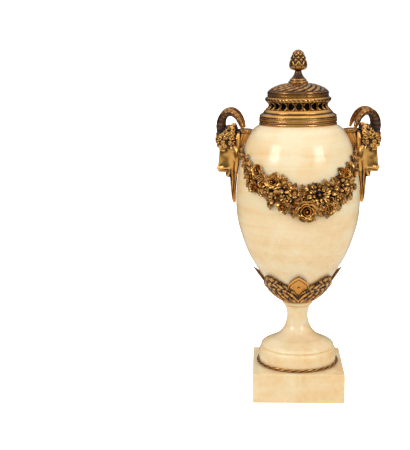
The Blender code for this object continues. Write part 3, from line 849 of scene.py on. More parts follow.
@dataclass
class TurnedMounts:
    """Bronze that is turned and then chased: rope, collar, gallery, lid and finial."""

    finish: bpy.types.Material
    nodes: dict[str, bpy.types.Object]
    columns: int = 192
    rope_radius: float = 46.4
    rope_section: float = 1.6
    rope_turns: int = 30
    collar_outline: Outline = (
        (44.2, 0.0), (44.5, 0.6), (44.3, 1.9), (43.5, 2.4), (43.5, 2.9), (44.2, 3.4),
        (44.2, 5.6), (43.9, 6.0), (44.2, 6.4), (44.2, 8.0), (43.4, 8.5), (43.4, 9.0),
        (44.1, 9.5), (43.6, 10.7), (42.0, 12.1), (40.7, 12.8), (39.8, 13.3), (39.3, 14.6),
        (38.0, 16.0), (36.8, 17.1),
    )
    mouth: float = 30.5
    bore: float = 30.0
    holes: int = 24
    hole_rise: float = 4.0
    hole_half_width: float = 3.3
    hole_half_height: float = 3.5
    cell_half_height: float = 3.85
    rim: float = 1.0
    cell_shares: tuple[float, ...] = (0.0, 0.12, 0.27, 0.44, 0.62, 0.8, 1.0)
    waist: Outline = (
        (36.5, 0.0), (34.5, 1.4), (33.1, 3.3), (32.9, 5.3), (34.2, 7.1), (35.7, 8.0),
    )
    roll: Outline = (
        (35.7, 8.0), (36.8, 8.8), (37.3, 9.9), (37.4, 11.1), (36.9, 12.4), (35.8, 13.4),
        (34.8, 13.6), (30.0, 13.6),
    )
    lobes: int = 18
    lobe_turn: float = 66.0
    lobe_depth: float = 1.8
    lid_band: Outline = (
        (34.6, 0.0), (34.8, 0.5), (34.8, 1.9), (34.4, 2.4), (34.8, 2.9), (34.8, 4.7),
        (34.4, 5.6), (33.7, 6.0),
    )
    lid_dome: Outline = (
        (33.7, 6.2), (32.6, 7.6), (29.8, 9.5), (24.9, 11.8), (18.4, 13.9), (12.6, 14.7),
    )
    flange: tuple[float, float] = (28.6, 29.4)
    flange_depth: float = 13.6
    lid_inside: Outline = (
        (1.0, 9.2), (11.5, 9.2), (28.5, 3.7), (30.5, 0.0),
    )
    finial_outline: Outline = (
        (10.9, 0.0), (11.2, 0.5), (11.1, 1.5), (10.0, 2.2), (9.5, 2.9), (9.2, 4.0),
        (7.9, 5.2), (6.0, 7.4), (4.6, 10.0), (3.8, 12.3), (3.7, 13.6), (4.5, 14.2),
    )
    cone_outline: Outline = (
        (4.5, 14.2), (7.5, 15.2), (9.2, 17.0), (9.9, 19.7), (9.6, 23.0), (9.0, 26.2),
        (8.1, 29.2), (6.8, 32.5), (4.8, 35.2), (2.6, 36.7), (0.6, 37.1),
    )
    scale_rows: int = 8
    scales_round: int = 8
    scale_relief: float = 0.95

    def outline(self, rows: Outline, node: str, per_span: int) -> np.ndarray:
        """A smooth outline, carried up to its node's base."""
        return flow(lifted(rows, base_of(self.nodes[node])), per_span)

    def finish_piece(
        self, casting: Casting, name: str, node: str, scales: Outline,
        tone: float = 0.0, bore: tuple[float, float] = (0.0, 0.0),
    ) -> None:
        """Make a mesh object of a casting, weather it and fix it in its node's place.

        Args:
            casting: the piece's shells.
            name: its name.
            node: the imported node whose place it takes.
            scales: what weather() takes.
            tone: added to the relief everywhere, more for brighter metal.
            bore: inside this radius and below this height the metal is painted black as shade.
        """
        obj = casting.mesh_object(name)
        points = read_points(obj.data)
        # painted shade: inside the bore the relief is 0, the darkest colour
        inside = (np.hypot(points[:, 0], points[:, 1]) < bore[0]) & (points[:, 2] < bore[1])
        relief = weather(obj.data, scales) + np.concatenate(casting.tones) - 0.5 + tone
        dress(obj, self.finish, 50.0, "relief", np.where(inside, 0.0, relief))
        mount(obj, node, Slot.BRONZE)

    def rope(self) -> Casting:
        """Twist three strands into a ring: the section swells where a strand passes.

        Returns:
            The foot ring.
        """
        angle, turn = columns_round(540)[:, None], circle(14)
        strand = np.abs(np.cos(1.5 * turn - math.pi * self.rope_turns * angle / FULL_TURN))
        reach = self.rope_section * (0.66 + 0.34 * strand)
        middle = base_of(self.nodes["foot_ring"]) + self.rope_section
        return Casting().hoop(
            around(angle, self.rope_radius + reach * np.cos(turn), middle + reach * np.sin(turn)),
            -0.06 + 0.56 * strand**6)

    def collar(self) -> Casting:
        """Close the moulding's outer outline with its straight bore.

        Returns:
            The shoulder's collar.
        """
        outline = self.outline(self.collar_outline, "collar", 4)
        bore = [[self.mouth, height] for height in np.linspace(outline[-1, 1], outline[0, 1], 3)]
        return Casting().hoop(turned(np.vstack([outline, bore]), columns_round(self.columns)))

    def gallery(self) -> Casting:
        """Waisted ring pierced by round holes with raised rims that touch.

        Each hole has a cell. In it the surface is a polar grid that runs from the hole's
        oval to the cell's square edge, so a point at share s and turn t is the oval's
        point times 1 - s plus the square's point times s. The rim is a bell across the
        distance from the hole. Above and below the cells, level rows go on over the roll,
        which is chased with slanting beads, and down the bore.

        Returns:
            The gallery.
        """
        half_angle = FULL_TURN / self.holes / 2.0
        waist = self.outline(self.waist, "pierced_gallery", 8)

        def radius(height: Amount) -> Amount:
            """The waist's radius at a height."""
            return np.interp(height, waist[:, 1], waist[:, 0])

        middle = waist[0, 1] + self.hole_rise
        cell = (math.radians(half_angle) * float(radius(middle)), self.cell_half_height)
        oval = (self.hole_half_width / cell[0], self.hole_half_height / cell[1])
        shares, turn = np.array(self.cell_shares)[:, None], circle(32)
        square = 1.0 / np.maximum(np.abs(np.cos(turn)), np.abs(np.sin(turn)))
        aside = np.cos(turn) * (oval[0] * (1.0 - shares) + square * shares)
        up = np.sin(turn) * (oval[1] * (1.0 - shares) + square * shares)
        away = np.hypot(
            (aside - oval[0] * np.cos(turn)) * cell[0], (up - oval[1] * np.sin(turn)) * cell[1])
        raised = self.rim * bump(away, 0.45, 0.55) * (1.0 - shares**6)
        height = middle + up * cell[1]
        angle = columns_round(self.holes)[:, None, None] + aside * half_angle
        outer = around(angle, radius(height) + raised, height)
        index = np.arange(outer.size // 3).reshape(outer.shape[:3])
        after, below = np.roll(index, -1, axis=2), index.size
        front = np.stack(
            [index[:, :-1], index[:, 1:], after[:, 1:], after[:, :-1]], axis=-1).reshape(-1, 4)
        wall = np.stack([index[:, 0], after[:, 0], after[:, 0] + below, index[:, 0] + below], axis=-1)
        points = [outer, around(angle, np.full_like(aside, self.bore), height)]
        blocks = [front, front[:, ::-1] + below, wall.reshape(-1, 4)]

        edge = np.tan(np.radians(np.arange(-4, 4) * 11.25)) * half_angle
        angles = (columns_round(self.holes)[:, None] + edge).ravel()
        low, high = middle - cell[1], middle + cell[1]
        base, cap = waist[waist[:, 1] < low], waist[waist[:, 1] > high]
        roll = self.outline(self.roll, "pierced_gallery", 5)[1:]
        foot = np.vstack([[self.bore, low], [self.bore, waist[0, 1]], base, [radius(low), low]])
        head = np.vstack([[radius(high), high], cap, roll, [self.bore, high]])
        band = bump(head[:, 1], waist[-1, 1] + 2.6, 1.6)[:, None] * (head[:, 0] > 36.2)[:, None]
        beads = 0.28 * band * np.cos(np.radians(angles) * 48.0 + head[:, 1, None] * 1.2)
        start = 2 * below
        for row, marks in ((foot, np.zeros((len(foot), 1))), (head, beads)):
            number = np.arange(len(row) * len(angles)).reshape(len(row), len(angles)) + start
            points.append(turned(row, angles, marks))
            blocks.append(quads(number, np.roll(number, -1, axis=1)))
            start += number.size
        gathered = np.vstack([grid.reshape(-1, 3) for grid in points])
        _, first, merged = np.unique(
            np.round(gathered, 3), axis=0, return_index=True, return_inverse=True)
        casting = Casting()
        casting.add(gathered[first], *(merged.ravel()[block] for block in blocks))
        return casting

    def lid(self) -> Casting:
        """Grooved band and a dome of spiral leaf lobes, hollow underneath.

        With w the place across a lobe from -1 to 1, the relief is minus the depth times
        1 less the root of 1 less w squared, and a midrib and slanting veins are cut in it.

        Returns:
            The lid.
        """
        inside = self.outline(self.lid_inside, "lid", 4)
        band = self.outline(self.lid_band, "lid", 3)
        dome = self.outline(self.lid_dome, "lid", 9)
        base = inside[-1, 1]
        flange = [
            (self.flange[0], base + 3.0), (self.flange[0], base - self.flange_depth),
            (self.flange[1], base - self.flange_depth), (self.flange[1], base)]
        outline = np.vstack([inside[:-4], flange, band, dome[1:]])
        angle = columns_round(self.lobes * 16)
        share = step_up(outline[:, 0], dome[0, 0], dome[-1, 0] - dome[0, 0])[:, None]
        on_dome = (np.arange(len(outline)) >= len(outline) - len(dome) + 1)[:, None]
        swirl = angle - self.lobe_turn * share**0.8
        w = 2.0 * np.mod(self.lobes * swirl / FULL_TURN, 1.0) - 1.0
        lobe = np.sqrt(np.maximum(0.0, 1.0 - w**2))
        veins = 0.22 * np.cos(math.tau * (6.0 * share + 1.1 * np.abs(w)))
        envelope = np.clip(share * 12.0, 0.0, 1.0) * np.clip((1.0 - share) * 6.0, 0.15, 1.0)
        cut = self.lobe_depth * (1.0 - lobe) + 0.3 * bump(w, 0.0, 0.16) + veins * lobe
        tone = 0.5 + on_dome * (0.46 * lobe**3 - 0.42 + 0.8 * veins) - 0.18 * (1 - on_dome)
        return Casting().loft(turned(outline, angle, -cut * envelope * on_dome), tone)

    def finial(self) -> Casting:
        """Set a pine cone in a cup of leaves on a spool stem and a stepped disc.

        Returns:
            The finial.
        """
        stem = self.outline(self.finial_outline, "finial", 5)
        cone = self.outline(self.cone_outline, "finial", 9)
        outline = np.vstack([[0.5, stem[0, 1]], stem, cone[1:]])
        angle = columns_round(180)
        share = step_up(outline[:, 1], cone[0, 1], cone[-1, 1] - cone[0, 1])[:, None]
        count, row = self.scales_round * angle / FULL_TURN, share * self.scale_rows / 2.0
        saws = [np.abs(np.mod(count + side * row, 1.0) - 0.5) for side in (1.0, -1.0)]
        scales = 0.9 - 2.4 * np.maximum(*saws)
        petals = np.sqrt(np.abs(np.cos(np.radians(angle) * 4.0)))
        cup = np.clip((0.42 * petals + 0.06 - share) * 12.0, 0.0, 1.0)
        relief = scales * self.scale_relief * (1.0 - cup) + (0.25 + 0.6 * petals) * cup - 0.55
        ends = np.clip(share * 14.0, 0.0, 1.0) * np.clip((1.0 - share) * 5.0, 0.0, 1.0)
        return Casting().loft(turned(outline, angle, relief * ends))

    def build(self) -> None:
        """Make every turned mount."""
        # inside the gallery's and the lid's bore the metal is painted black as shade
        painted_dark_bore = (self.bore + 0.5, base_of(self.nodes["lid"]) + 0.2)
        self.finish_piece(self.rope(), "foot_rope", "foot_ring", ((12, 0.25),))
        self.finish_piece(self.collar(), "collar_moulding", "collar", ((14, 0.25),), -0.12)
        self.finish_piece(
            self.gallery(), "gallery", "pierced_gallery", ((10, 0.35), (40, 0.9)), -0.06, painted_dark_bore)
        self.finish_piece(self.lid(), "gadrooned_lid", "lid", ((8, 0.22), (40, 0.8)), -0.09, painted_dark_bore)
        self.finish_piece(self.finial(), "pine_cone_finial", "finial", ((10, 0.2), (40, 0.8)), 0.02)


# Calyx


@dataclass
class Calyx:
    """Cup of leaves under the vessel: four plain lozenges between four acanthus."""

    stone: Stonework
    finish: bpy.types.Material
    columns: int = 480
    rows: int = 56
    foot: float = 110.0
    tip: float = 150.0
    clearance: float = 0.6
    thickness: float = 1.2
    tip_stand: float = 2.4
    lozenge: Outline = (
        (0.0, 150.0), (3.0, 148.2), (7.0, 145.6), (12.0, 142.0), (16.0, 137.6), (19.0, 128.5))
    acanthus: Outline = (
        (0.0, 124.0), (6.0, 128.3), (12.0, 132.0), (20.0, 136.4), (31.0, 141.6), (38.0, 145.2),
        (45.0, 147.0))
    finger: float = 4.4
    tier: float = 7.0
    boss_height: float = 135.0

    def build(self) -> None:
        """Make one grid of angle and height, its outer face carved, its upper edge lobed.

        The plain leaves have a raised border, a sunk panel, a line inside it and a boss. The
        acanthus stand in front of them. Their fingers are the root of a cosine's size along
        a slanting count, which grows with the distance from the midrib and from the edge and
        sways by a sine. Each finger is cut into tiers, shifted from its neighbour's; drilled
        eyes lie between, and finer veins run along. The patina follows the same terms.
        """
        angle = columns_round(self.columns)[None, :]
        away = np.abs((angle + 45.0) % 90.0 - 45.0)
        plain_edge = np.interp(away, *zip(*self.lozenge))
        leaf_line = np.interp(away, *zip(*self.acanthus))
        arc = np.radians(45.0 - away) * self.stone.radius(leaf_line)
        tooth = np.sqrt(np.abs(np.cos(math.pi * arc / self.finger)))
        leafy_edge = leaf_line + 2.0 * (tooth - 0.65) * (away > 2.0)
        share = np.linspace(0.0, 1.0, self.rows)[:, None]
        height = self.foot + (np.maximum(plain_edge, leafy_edge) - self.foot) * share
        radius = self.stone.radius(height)
        aside, across = np.radians(45.0 - away) * radius, np.radians(away) * radius
        in_front = step_up(leafy_edge, height, 0.7)

        below_edge = (plain_edge - height) * 0.72
        border, line = bump(below_edge, 1.2, 0.8), bump(below_edge, 3.4, 0.5)
        boss = bump(np.hypot(across, height - self.boss_height), 0.0, 1.2)
        plain = 0.9 * border - 0.4 * line + 1.2 * boss
        outline = step_up(below_edge, 0.5, -0.5)
        plain_tone = 0.82 + 0.20 * border - 0.34 * line - 0.45 * boss - 0.4 * outline

        depth = leafy_edge - height
        curl = 1.2 * np.sin(0.8 * depth + 0.5 * aside)
        count = (aside + 0.5 * depth + curl) / self.finger
        finger = np.sqrt(np.abs(np.cos(math.pi * count)))
        vein = 0.5 + 0.5 * np.cos(math.tau * 3.0 * count)
        number = np.floor(count + 0.5)
        shifted = depth + 2.9 * number + 1.8 * np.sin(2.1 * number)
        tier = 0.5 + 0.5 * np.cos(math.tau * shifted / self.tier)
        eye = bump(np.mod(count, 1.0), 0.5, 0.16) * bump(np.mod(shifted, self.tier), self.tier / 2.0, 1.0)
        midrib = bump(aside, 0.0, 1.2)
        leafy = 1.1 + 0.9 * finger + 0.25 * vein + 0.5 * tier - 1.2 * eye + 0.9 * midrib
        leafy_tone = 0.12 + 0.34 * finger**2 + 0.12 * vein + 0.50 * tier * finger
        leafy_tone += 0.2 * midrib - 0.4 * eye - 0.25 * (1.0 - tooth) * bump(depth, 0.0, 1.5)

        relief = plain * (1.0 - in_front) + leafy * in_front
        relief *= np.clip(share * 8.0, 0.0, 1.0) * np.clip((1.0 - share) * 9.0, 0.25, 1.0)
        tone = plain_tone * (1.0 - in_front) + leafy_tone * in_front
        climb = (height - self.foot) / (self.tip - self.foot)
        stand = self.clearance + self.tip_stand * climb**4
        outer = self.stone.on_body(angle, height, stand + self.thickness + relief)
        inner = self.stone.on_body(angle, height, stand)
        casting = Casting().hoop(
            np.concatenate([outer, inner[::-1]]), np.concatenate([tone, np.full_like(tone, 0.6)]))
        obj = casting.mesh_object("calyx_leaves")
        dress(obj, self.finish, 60.0, "relief", casting.tones[0])
        mount(obj, "calyx", Slot.BRONZE)


# Garland


class Bloom(Enum):
    """Kinds of flower in the garland."""

    ROSE = "rose"
    ROSEBUD = "rosebud"
    DAISY = "daisy"
    BLOSSOM = "blossom"
    BUD = "bud"


# Rings of petals: how many, turn, root and lip as shares of the flower's radius, how far the
# root is raised and the lip lies below the flower's top, width and cup.
PETALS: dict[Bloom, tuple[tuple[float, ...], ...]] = {
    Bloom.ROSE: (),
    Bloom.ROSEBUD: ((4, 0.0, 0.3, 1.0, 1.8, 1.9, 1.04, 1.6), (3, 0.6, 0.2, 0.62, 2.4, 0.0, 1.04, 1.8)),
    Bloom.DAISY: ((11, 0.0, 0.2, 1.0, 2.6, 2.0, 0.74, 0.7), (8, 0.4, 0.18, 0.6, 3.0, 0.8, 0.72, 0.8)),
    Bloom.BLOSSOM: ((5, 0.0, 0.2, 1.0, 1.8, 1.0, 0.80, 1.1),),
    Bloom.BUD: ((3, 0.0, 0.1, 0.9, 1.6, 1.2, 0.86, 0.9),),
}

# Rings of a rose: how many petals, turn, share of the radius and share of the height.
ROSE_RINGS: Rows = ((6, 0.0, 1.0, 0.60), (5, 0.6, 0.78, 0.80), (4, 0.2, 0.55, 0.94), (3, 0.9, 0.32, 1.0))

# Hearts: share of the flower's radius, how far below its top, and tone.
HEARTS: dict[Bloom, Triple] = {
    Bloom.ROSE: (0.16, 0.4, 0.75),
    Bloom.ROSEBUD: (0.2, 0.4, 0.65),
    Bloom.DAISY: (0.2, 1.0, 0.5),
    Bloom.BLOSSOM: (0.24, 1.2, 0.6),
    Bloom.BUD: (0.42, 0.4, 0.62),
}


@dataclass
class Garland:
    """Swag of roses, daisies, buds and leaves between the handles."""

    stone: Stonework
    finish: bpy.types.Material
    clearance: float = 0.9
    sheet: float = 1.2
    cell: float = 0.8
    fillers: int = 92
    small_blooms: int = 16
    fullness: float = 1.12
    reach: float = 85.5
    upper: Outline = (
        (-85.5, 286.0), (-70.0, 283.0), (-60.0, 276.0), (-47.0, 272.0), (-33.0, 260.0), (-24.0, 265.0),
        (-13.0, 257.0), (-4.0, 250.0), (6.0, 248.5), (16.5, 253.0), (27.0, 253.0), (36.0, 256.5),
        (45.0, 268.0), (55.0, 270.0), (65.0, 278.0), (85.5, 286.0),
    )
    lower: Outline = (
        (-85.5, 282.0), (-70.0, 278.0), (-58.0, 262.0), (-47.0, 243.0), (-33.0, 244.0), (-24.0, 226.0),
        (-13.0, 218.0), (-4.0, 214.0), (6.0, 209.0), (16.5, 218.0), (27.0, 214.0), (36.0, 226.0),
        (45.0, 231.0), (55.0, 240.0), (65.0, 268.0), (85.5, 282.0),
    )
    blooms: tuple[tuple[float, float, float, Bloom], ...] = (
        (-54.0, 272.0, 4.2, Bloom.BUD), (-41.0, 266.0, 6.6, Bloom.ROSEBUD),
        (-47.0, 257.5, 4.6, Bloom.BLOSSOM), (-43.6, 247.0, 6.4, Bloom.ROSE),
        (-33.5, 253.0, 4.8, Bloom.BLOSSOM), (-23.8, 255.0, 8.2, Bloom.ROSE),
        (-12.9, 249.0, 6.8, Bloom.BLOSSOM), (-20.2, 237.0, 7.6, Bloom.BLOSSOM),
        (-30.5, 242.5, 4.6, Bloom.BUD), (-4.6, 243.4, 5.6, Bloom.BLOSSOM),
        (-10.5, 234.0, 4.8, Bloom.BUD), (-14.6, 227.5, 5.8, Bloom.ROSEBUD),
        (5.6, 222.6, 11.2, Bloom.ROSE), (15.9, 240.5, 10.8, Bloom.DAISY),
        (27.4, 246.6, 6.8, Bloom.BLOSSOM), (26.4, 224.6, 7.0, Bloom.ROSE),
        (20.2, 231.0, 4.8, Bloom.BLOSSOM), (39.0, 249.0, 7.2, Bloom.BLOSSOM),
        (33.6, 237.0, 5.0, Bloom.BUD), (46.0, 261.5, 6.4, Bloom.ROSE),
        (50.5, 250.0, 4.8, Bloom.BLOSSOM), (57.5, 268.5, 4.6, Bloom.BUD), (65.0, 275.0, 3.8, Bloom.BUD),
    )
    leaves: Rows = (
        (-61.0, 273.0, 62.0, 10.0), (-50.0, 266.0, 100.0, 10.0), (-48.0, 254.0, -140.0, 9.0),
        (-36.0, 258.0, 96.0, 11.0), (-37.0, 248.0, -75.0, 12.0), (-28.0, 246.0, -105.0, 13.0),
        (-16.0, 252.0, 75.0, 12.0), (-24.0, 234.0, -112.0, 11.0), (-8.0, 246.0, 105.0, 11.0),
        (-8.0, 232.0, -95.0, 13.0), (-3.0, 226.0, -120.0, 12.0), (3.5, 238.0, 88.0, 15.0),
        (-2.0, 238.0, 130.0, 10.0), (14.0, 224.0, -50.0, 12.0), (10.0, 243.0, 70.0, 12.0),
        (22.0, 243.0, 80.0, 15.0), (17.0, 226.0, -80.0, 11.0), (33.0, 246.0, 95.0, 14.0),
        (32.0, 232.0, -60.0, 12.0), (40.0, 241.0, -80.0, 14.0), (46.0, 244.0, -75.0, 15.0),
        (52.0, 250.0, -50.0, 13.0), (41.0, 256.0, 100.0, 10.0), (54.0, 262.0, 70.0, 12.0),
        (60.0, 266.0, -20.0, 11.0), (62.0, 272.0, 80.0, 9.0),
    )

    @staticmethod
    def level(height: Amount) -> Amount:
        """Real height of a level in the garland's drawing, which is a little large."""
        return MOUNT_LEVEL + (height - MOUNT_LEVEL) * MOUNT_SCALE

    def ring(
        self, casting: Casting, place: Place, count: int, turn: float, reach: tuple[float, float],
        lift: tuple[float, float], width: float, cup: float,
    ) -> None:
        """Add a ring of petals, each a cupped sheet in polar coordinates round the heart.

        With a across a petal from -1 to 1 and b along it from 0 to 1, the distance is a
        share b of the reach, rounded off by the fourth power of a. The height climbs with b
        to the power cup, rises at the sides with a squared and rolls back near the lip. The
        metal brightens from the root to the lip.

        Args:
            casting: what the petals are added to.
            place: the patch of the vessel they lie on.
            count: how many petals.
            turn: where the first points, in radians.
            reach: distance from the heart at the root and at the lip.
            lift: height at the root and at the lip.
            width: half a petal's angle, as a share of half its turn.
            cup: below 1 for a petal that arches over, above 1 for one that opens like a cup.
        """
        a, b = np.meshgrid(np.linspace(-1.0, 1.0, 7), np.linspace(0.0, 1.0, 6))
        distance = reach[0] + (reach[1] - reach[0]) * b * (1.0 - 0.26 * a**4 * b)
        roll = np.clip(b - 0.75, 0.0, 1.0) ** 2 * 16.0
        rise = lift[0] + (lift[1] - lift[0]) * b**cup + 0.55 * a**2 * b - 0.7 * roll
        tone = 0.24 + 0.44 * b**1.2 + 0.20 * roll + 0.12 * a**2 * b
        for index in range(count):
            angle = turn + math.tau * index / count + a * width * math.pi / count * (0.5 + 0.5 * b**0.7)
            sway = 0.10 * np.sin(3.1 * index + turn)
            x, y = distance * (1.0 + sway) * np.cos(angle), distance * (1.0 + sway) * np.sin(angle)
            casting.slab(place(x, y, rise), place(x, y, rise - self.sheet), tone)

    def heart(
        self, casting: Casting, place: Place, radius: float, lift: tuple[float, float], tone: float,
    ) -> None:
        """Add a round heart: a dome whose radius follows a cosine up to its top.

        Args:
            casting: what the heart is added to.
            place: the patch of the vessel it lies on.
            radius: its radius.
            lift: height at its foot and at its top.
            tone: how bright its top is.
        """
        climb = np.linspace(0.0, 0.96, 6)[:, None]
        quarter, turn = climb * math.pi / 2.0, circle(10)
        reach = radius * np.cos(quarter) ** 0.7
        height = lift[0] + (lift[1] - lift[0]) * np.sin(quarter) + 0.0 * turn
        dome = place(reach * np.cos(turn), reach * np.sin(turn), height)
        casting.loft(dome, tone * (0.6 + 0.4 * climb))

    def flower(self, casting: Casting, angle: float, height: float, size: float, kind: Bloom) -> None:
        """Add one flower, standing the higher the wider it is.

        Args:
            casting: what the flower is added to.
            angle: where it stands round the vessel.
            height: its height in the drawing.
            size: its radius in the drawing.
            kind: which flower.
        """
        height, size = self.level(height), size * MOUNT_SCALE
        place = self.stone.patch(angle, height)
        low = self.clearance
        top = low + 3.5 + 0.46 * size
        first = math.radians(angle * 7.0 + height * 3.0)
        self.heart(casting, place, 0.55 * size, (low, low + 0.42 * (top - low)), 0.2)
        for count, turn, root, lip, raised, drop, width, cup in PETALS[kind]:
            self.ring(
                casting, place, count, first + turn, (root * size, lip * size),
                (low + raised, top - drop), width, cup)
        for count, turn, share, rise in ROSE_RINGS if kind is Bloom.ROSE else ():
            self.ring(
                casting, place, count, first + turn, (0.35 * share * size, share * size),
                (low + 0.40 * rise * top, low + rise * (top - low)), 1.06, 1.2)
        radius, drop, tone = HEARTS[kind]
        self.heart(casting, place, radius * size, (low, top - drop), tone)

    def leaf(
        self, casting: Casting, angle: float, height: float, direction: float, length: float,
        lift: float = 1.0,
    ) -> None:
        """Add a leaf with a midrib, veins and a toothed edge.

        With b along and a across, the half width is a sine of b, toothed by a saw wave. The
        height is an arch of b, folded up at the midrib and waved by slanting veins, and the
        metal is bright on the midrib, the veins and the edge.

        Args:
            casting: what the leaf is added to.
            angle: where its stalk stands round the vessel.
            height: its stalk's height in the drawing.
            direction: where it points, in degrees up from the right.
            length: its length in the drawing.
            lift: how high it arches, 1 for a leaf that stands out.
        """
        height, length = self.level(height), length * MOUNT_SCALE
        place = self.stone.patch(angle, height)
        a, b = np.meshgrid(np.linspace(-1.0, 1.0, 9), np.linspace(0.0, 1.0, 14))
        tooth = 1.0 + 0.26 * (np.mod(b * 5.0, 1.0) - 0.5)
        half = length * (0.31 * np.sin(math.pi * b**0.8) ** 0.8 * tooth + 0.02)
        bend = math.radians(direction) + 0.4 * (b - 0.5)
        ahead, aside = length * b, half * a
        x = ahead * np.cos(bend) - aside * np.sin(bend)
        y = ahead * np.sin(bend) + aside * np.cos(bend)
        rib, vein = bump(a, 0.0, 0.2), np.cos(math.tau * (b * 5.0 - np.abs(a) * 0.8))
        arch = lift * (1.2 + 2.0 * np.sin(math.pi * b))
        rise = self.clearance + 1.6 + arch + 0.9 * rib - 0.8 * np.abs(a) + 0.35 * vein
        tone = 0.40 + 0.26 * rib + 0.14 * vein + 0.22 * np.abs(a) ** 6 - 0.15 * (1.0 - b) ** 2
        casting.slab(place(x, y, rise), place(x, y, rise - self.sheet), tone)

    def edge(self, angle: Amount, share: Amount) -> np.ndarray:
        """Height at a share of the way from the garland's lower edge to its upper one."""
        low, high = (np.interp(angle, *zip(*line)) for line in (self.lower, self.upper))
        return low + (high - low) * share

    def filling(self, casting: Casting) -> None:
        """Add low leaves and small flowers between the large ones.

        A leaf points out over the nearer edge, or along the swag if it lies in the middle.

        Args:
            casting: the garland.
        """
        for index in range(self.fillers):
            angle = -82.0 + 164.0 * (index + 0.5) / self.fillers
            share = (0.24, 0.78, 0.5, 0.36, 0.68)[index % 5]
            outward = 90.0 * float(np.sign(share - 0.5)) + 180.0 * (share == 0.5) * (index // 5 % 2)
            width = float(self.edge(angle, 1.0) - self.edge(angle, 0.0))
            length = min(12.5, 3.6 + 0.26 * width) * (1.0 + 0.12 * math.sin(5.0 * index))
            self.leaf(
                casting, angle, float(self.edge(angle, share)), outward + 52.0 * math.sin(2.4 * index),
                length, 0.6 + 0.3 * math.sin(3.7 * index))
        for index in range(self.small_blooms):
            angle = -62.0 + 124.0 * (index + 0.5) / self.small_blooms
            share = (0.52, 0.30, 0.66, 0.42, 0.58, 0.48)[index % 6]
            kind = (Bloom.BLOSSOM, Bloom.ROSEBUD)[index % 2]
            size = 4.3 + 0.7 * math.sin(2.9 * index)
            self.flower(casting, angle, float(self.edge(angle, share)), size, kind)

    def bed(self, casting: Casting) -> None:
        """Add the low strip under the flowers, within the garland's edges.

        Args:
            casting: the garland.
        """
        angle, turn = np.linspace(-self.reach, self.reach, 90)[:, None], circle(16)
        half = (self.edge(angle, 1.0) - self.edge(angle, 0.0)) * 0.5
        half = np.minimum(half, 2.0 + 0.62 * half) * MOUNT_SCALE
        thick = np.minimum(0.6 + 0.06 * half, 0.9)
        height = self.level(self.edge(angle, 0.5)) + half * np.cos(turn)
        casting.loft(
            self.stone.on_body(angle, height, self.clearance + thick + thick * np.sin(turn)), 0.26)

    def shadow(self, points: np.ndarray) -> np.ndarray:
        """How deep each point lies among its neighbours, from 0 to 1.

        The points are sorted into cells of angle and height. Each cell keeps its highest
        point, then takes the highest of its neighbours, then their mean a few times. What a
        point lacks to that height is its depth.

        Args:
            points: the garland's points.

        Returns:
            The depth of each.
        """
        angle = np.arctan2(points[:, 0], -points[:, 1])
        proud = np.hypot(points[:, 0], points[:, 1]) - self.stone.radius(points[:, 2])
        column = ((angle + math.pi / 2.0) * 70.0 / self.cell).astype(int) + 2
        row = ((points[:, 2] - points[:, 2].min()) / self.cell).astype(int) + 2
        highest = np.zeros((column.max() + 3, row.max() + 3))
        np.maximum.at(highest, (column, row), proud)
        for combine in (np.max, np.max, np.mean, np.mean, np.mean, np.mean):
            near = [np.roll(highest, step, axis=axis) for axis in (0, 1) for step in (-1, 1)]
            highest = combine(np.stack([highest, *near]), axis=0)
        return step_up(highest[column, row] - proud, 0.8, 4.5)

    def build(self) -> None:
        """Cast the front garland and the same again on the back."""
        casting = Casting()
        self.bed(casting)
        self.filling(casting)
        for row in self.leaves:
            self.leaf(casting, *row)
        for angle, height, size, kind in self.blooms:
            self.flower(casting, angle, height, size * self.fullness, kind)
        front = casting.mesh_object("flower_garland_front")
        shadow = self.shadow(read_points(front.data))
        dress(front, self.finish, 60.0, "relief", np.concatenate(casting.tones) + 0.22 - 0.46 * shadow)
        back = copy_turned(front, "flower_garland_back", np.diag([-1.0, -1.0, 1.0]))
        mount(front, "garland_front", Slot.BRONZE)
        mount(back, "garland_back", Slot.BRONZE)


# Handles


